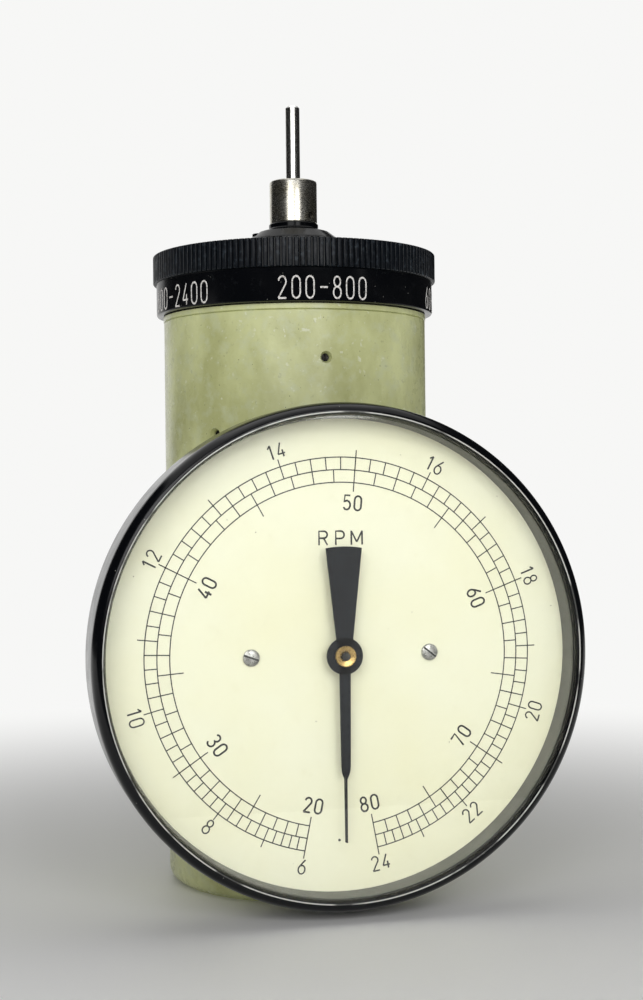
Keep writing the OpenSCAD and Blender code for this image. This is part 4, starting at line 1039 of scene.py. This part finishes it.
class TACHO_OT_range_ring(bpy.types.Operator):
    """Turns the range ring and sets its ribs"""

    bl_idname = "tacho.range_ring"
    bl_label = "Range ring"

    def execute(self, context):
        sizes = context.scene.tacho_ring
        outer = (RING_HIGH.x - RING_LOW.x) / 2
        base, top = RING_LOW.z, RING_HIGH.z
        band, bore, hole, under = BAND_R, 31.0 * MM, 10.8 * MM, 149.9 * MM
        knurl_low, knurl_high = base + 7.8 * MM, base + 14.6 * MM
        groove, seat = outer - 0.62 * MM, 12.1 * MM
        profile = [
            (bore, base),
            (band - 0.45 * MM, base),
            (band - 0.12 * MM, base + 0.12 * MM),
            (band, base + 0.45 * MM),
            (band, knurl_low - 0.25 * MM),
            (band + 0.05 * MM, knurl_low - 0.05 * MM),
            (groove - 0.2 * MM, knurl_low),
            (groove, knurl_low + 0.15 * MM),
            (groove, knurl_high - 0.5 * MM),
            (groove - 0.5 * MM, knurl_high),
            (seat + 0.3 * MM, top),
            (seat, top - 0.05 * MM),
            (hole, top - 0.05 * MM),
            (hole, under),
            (bore, under),
        ]
        ring = lathe("ring_body", profile, 256)
        smooth(ring, 28)

        height = knurl_high - knurl_low - 0.1 * MM
        depth = 1.2 * MM
        rib = block(
            (sizes.rib_width, depth, height),
            (0, -(outer - depth / 2), (knurl_low + knurl_high) / 2 - 0.02 * MM),
        )
        choose(rib, "FACE", lambda face: face.normal.y < -0.9)
        bpy.ops.mesh.bevel(offset=0.3 * MM, segments=3, affect="EDGES", profile=0.6)
        bpy.ops.object.mode_set(mode="OBJECT")
        smooth(rib, 40)
        ribs = [
            copy_of(rib, Matrix.Rotation(TURN * i / sizes.ribs, 4, "Z")) for i in range(sizes.ribs)
        ]
        remove(rib)
        grip = join(ribs, "ring_ribs")
        dress(grip, "ribs", "range_selector")
        dress(ring, "black_gloss", "range_selector", ["range_ring"])
        return {"FINISHED"}


class TACHO_OT_ring_numerals(bpy.types.Operator):
    """Engraves the five ranges round the band"""

    bl_idname = "tacho.ring_numerals"
    bl_label = "Ring numerals"

    def execute(self, context):
        sizes = context.scene.tacho_ring
        stroke, depth = 0.5 * MM, 0.05 * MM
        to_band = Matrix.Translation((0, -(BAND_R + 0.005 * MM), 140.95 * MM))
        narrow = Matrix.Diagonal((0.76, 1, 1, 1))
        labels = {
            "200-800": -1.4, "60-240": 70.5, "600-2400": -69.5, "2000-8000": -141,
            "6000-24000": 141,
        }
        placed = []
        for text, centre in labels.items():
            for i, letter in enumerate(text):
                angle = math.radians(centre) + (i - (len(text) - 1) / 2) * sizes.numeral_pitch
                at = Matrix.Rotation(angle, 4, "Z") @ to_band @ narrow
                placed.append(glyph_copy(letter, sizes.numeral_height, stroke, depth, at))
        engraved = join(placed, "ring_numerals")
        drop_masters()
        dress(engraved, "numerals", "range_selector")
        return {"FINISHED"}


class TACHO_OT_collar(bpy.types.Operator):
    """Turns the nickel collar with its softened edges and drills its screw hole"""

    bl_idname = "tacho.collar"
    bl_label = "Collar"

    def execute(self, context):
        radius = (COLLAR_HIGH.x - COLLAR_LOW.x) / 2
        low, high = COLLAR_LOW.z, COLLAR_HIGH.z
        bore, mouth, chamber = 4.45 * MM, 2.35 * MM, 3.4 * MM
        lid, step = high - 0.6 * MM, low + 4.4 * MM
        hole_r, hole_up, hole_angle = 0.95 * MM, 1.5 * MM, math.radians(-55)
        profile = [
            (bore, low),
            (radius - 0.1 * MM, low),
            (radius, low + 0.12 * MM),
            (radius, high - 0.55 * MM),
            (radius - 0.12 * MM, high - 0.22 * MM),
            (radius - 0.4 * MM, high - 0.04 * MM),
            (radius - 0.8 * MM, high),
            (mouth, high),
            (mouth, lid),
            (chamber, lid),
            (chamber, step),
            (bore, step),
        ]
        collar = lathe("collar", profile, 160)
        wall = Vector((radius * math.cos(hole_angle), radius * math.sin(hole_angle), low + hole_up))
        deselect()
        bpy.ops.mesh.primitive_cylinder_add(
            vertices=40, radius=hole_r, depth=radius, location=wall,
            rotation=(0, math.pi / 2, hole_angle),
        )
        cutter = settle(bpy.context.object, "drill")
        cut_away(collar, cutter)
        smooth(collar, 30)
        dress(collar, "nickel", "housing", ["nose_collar"])
        return {"FINISHED"}


class TACHO_OT_stage(bpy.types.Operator):
    """Sets the floor, backdrop, lamps and camera"""

    bl_idname = "tacho.stage"
    bl_label = "Stage"

    def execute(self, context):
        settings = context.scene.tacho_stage
        deselect()
        bpy.ops.mesh.primitive_circle_add(vertices=128, radius=3.0, fill_type="NGON")
        floor = settle(bpy.context.object, "floor")
        floor.data.materials.append(self.floor_material())
        for name, place, size, aim in (
            ("card_front", (-0.2, -1.1, 0.35), (2.6, 1.5), (-0.05, 0, 0.15)),
            ("card_left", (-0.95, 0.15, 0.3), (2.4, 1.5), (0, 0.05, 0.12)),
            ("card_right", (0.85, 0.15, 0.3), (2.4, 1.5), (0, 0.05, 0.12)),
            ("card_low", (-0.1, -0.74, 0.003), (2.0, 1.16), (-0.1, -0.74, 1.0)),
        ):
            self.card(name, place, size, aim)
        self.lamp("key_lamp", (-0.36, -0.78, 0.40), (0.45, 0.45), settings.key_power)
        self.lamp("fill_lamp", (0.10, -0.80, 0.34), (0.26, 0.40), settings.fill_power)
        self.lamp("top_lamp", (0.0, 0.05, 0.85), (0.6, 0.6), 0.9)
        self.world(context)
        self.camera(context, settings)
        return {"FINISHED"}

    def card(self, name, place, size, aim):
        """A dark card that only shows in polished surfaces."""
        deselect()
        bpy.ops.mesh.primitive_plane_add(size=1, location=place)
        card = bpy.context.object
        card.scale = (*size, 1)
        card.rotation_euler = (Vector(aim) - Vector(place)).to_track_quat("Z", "Y").to_euler()
        settle(card, name)
        black = bpy.data.materials.new(name)
        black.use_nodes = True
        shader = black.node_tree.nodes["Principled BSDF"]
        shader.inputs["Base Color"].default_value = (0.012, 0.012, 0.012, 1)
        shader.inputs["Roughness"].default_value = 1.0
        card.data.materials.append(black)
        for ray in ("camera", "diffuse", "shadow", "transmission"):
            setattr(card, "visible_" + ray, False)

    def lamp(self, name, place, size, power):
        """A soft lamp aimed at the instrument."""
        deselect()
        bpy.ops.object.light_add(type="AREA", location=place)
        lamp = bpy.context.object
        lamp.name = name
        lamp.data.shape = "RECTANGLE"
        lamp.data.size, lamp.data.size_y = size
        lamp.data.energy = power
        lamp.visible_camera = False
        aim = Vector((0, 0, 0.08)) - Vector(place)
        lamp.rotation_euler = aim.to_track_quat("-Z", "Y").to_euler()

    def floor_material(self):
        """Pale floor that keeps shadows near the piece and fades into the white beyond."""
        material = bpy.data.materials.new("pale_floor")
        material.use_nodes = True
        tree = material.node_tree
        nodes, links = tree.nodes, tree.links
        shader = nodes["Principled BSDF"]
        shader.inputs["Base Color"].default_value = PAPER_WHITE
        shader.inputs["Roughness"].default_value = 0.6
        glow = nodes.new("ShaderNodeEmission")
        glow.inputs["Color"].default_value = PAPER_WHITE
        coordinates = nodes.new("ShaderNodeTexCoord")
        distance = nodes.new("ShaderNodeVectorMath")
        distance.operation = "LENGTH"
        fade = nodes.new("ShaderNodeMapRange")
        fade.interpolation_type = "SMOOTHSTEP"
        fade.inputs["From Min"].default_value = 0.06
        fade.inputs["From Max"].default_value = 0.34
        links.new(coordinates.outputs["Object"], distance.inputs[0])
        links.new(distance.outputs["Value"], fade.inputs["Value"])
        far = fade.outputs["Result"]
        mix_shaders(tree, far, shader.outputs[0], glow.outputs[0], "Material Output")
        return material

    def world(self, context):
        """White to the eye and in reflections, and a soft grey light elsewhere."""
        world = bpy.data.worlds.new("soft_world")
        context.scene.world = world
        world.use_nodes = True
        nodes, links = world.node_tree.nodes, world.node_tree.links
        soft = nodes["Background"]
        soft.inputs["Color"].default_value = (1, 1, 1, 1)
        soft.inputs["Strength"].default_value = 0.15
        white = nodes.new("ShaderNodeBackground")
        white.inputs["Color"].default_value = PAPER_WHITE
        white.inputs["Strength"].default_value = 1.0
        path = nodes.new("ShaderNodeLightPath")
        seen = path.outputs["Is Camera Ray"]
        for other in ("Is Glossy Ray", "Is Transmission Ray"):
            either = nodes.new("ShaderNodeMath")
            either.operation = "MAXIMUM"
            links.new(seen, either.inputs[0])
            links.new(path.outputs[other], either.inputs[1])
            seen = either.outputs[0]
        mix_shaders(world.node_tree, seen, soft.outputs[0], white.outputs[0], "World Output")

    def camera(self, context, settings):
        """The photograph's viewpoint."""
        deselect()
        bpy.ops.object.camera_add(location=settings.camera_place)
        camera = bpy.context.object
        camera.name = "camera"
        look = Vector(settings.camera_aim).normalized()
        up = Vector((0.0111, 0.0002, 0.9999))  # before it is squared with the aim
        right = look.cross(up).normalized()
        up = right.cross(look)
        turn = Matrix((right, up, -look)).transposed()
        camera.rotation_euler = turn.to_euler()
        camera.data.lens = settings.lens
        camera.data.sensor_fit = "AUTO"
        camera.data.sensor_width = 36
        camera.data.clip_start = 0.01
        camera.data.clip_end = 20
        context.scene.camera = camera
        context.scene.view_settings.view_transform = "Standard"


class TACHO_PT_panel(bpy.types.Panel):
    """Lists the pieces of the tachometer"""

    bl_idname = "TACHO_PT_panel"
    bl_label = "Tachometer"
    bl_space_type = "VIEW_3D"
    bl_region_type = "UI"
    bl_category = "Tachometer"

    def draw(self, context):
        for operator in OPERATORS:
            self.layout.operator(operator.bl_idname)


GROUPS = {
    "tacho_dial": DialSizes,
    "tacho_pointer": PointerSizes,
    "tacho_ring": RingSizes,
    "tacho_body": BodyFinish,
    "tacho_stage": StageSettings,
}
OPERATORS = [
    TACHO_OT_finishes,
    TACHO_OT_bezel,
    TACHO_OT_dial_marks,
    TACHO_OT_dial_numbers,
    TACHO_OT_dial_screws,
    TACHO_OT_pointer,
    TACHO_OT_pointer_boss,
    TACHO_OT_range_ring,
    TACHO_OT_ring_numerals,
    TACHO_OT_collar,
    TACHO_OT_stage,
]


def register():
    """Registers the classes and hangs the settings on the scene."""
    for cls in [*GROUPS.values(), *OPERATORS, TACHO_PT_panel]:
        bpy.utils.register_class(cls)
    for name, cls in GROUPS.items():
        setattr(bpy.types.Scene, name, PointerProperty(type=cls))


def unregister():
    """Takes the settings and classes away again."""
    for name in GROUPS:
        delattr(bpy.types.Scene, name)
    for cls in reversed([*GROUPS.values(), *OPERATORS, TACHO_PT_panel]):
        bpy.utils.unregister_class(cls)


def main():
    """Builds every piece and the stage."""
    register()
    for operator in OPERATORS:
        group, name = operator.bl_idname.split(".")
        getattr(getattr(bpy.ops, group), name)()
    deselect()


if __name__ == "__main__":
    main()
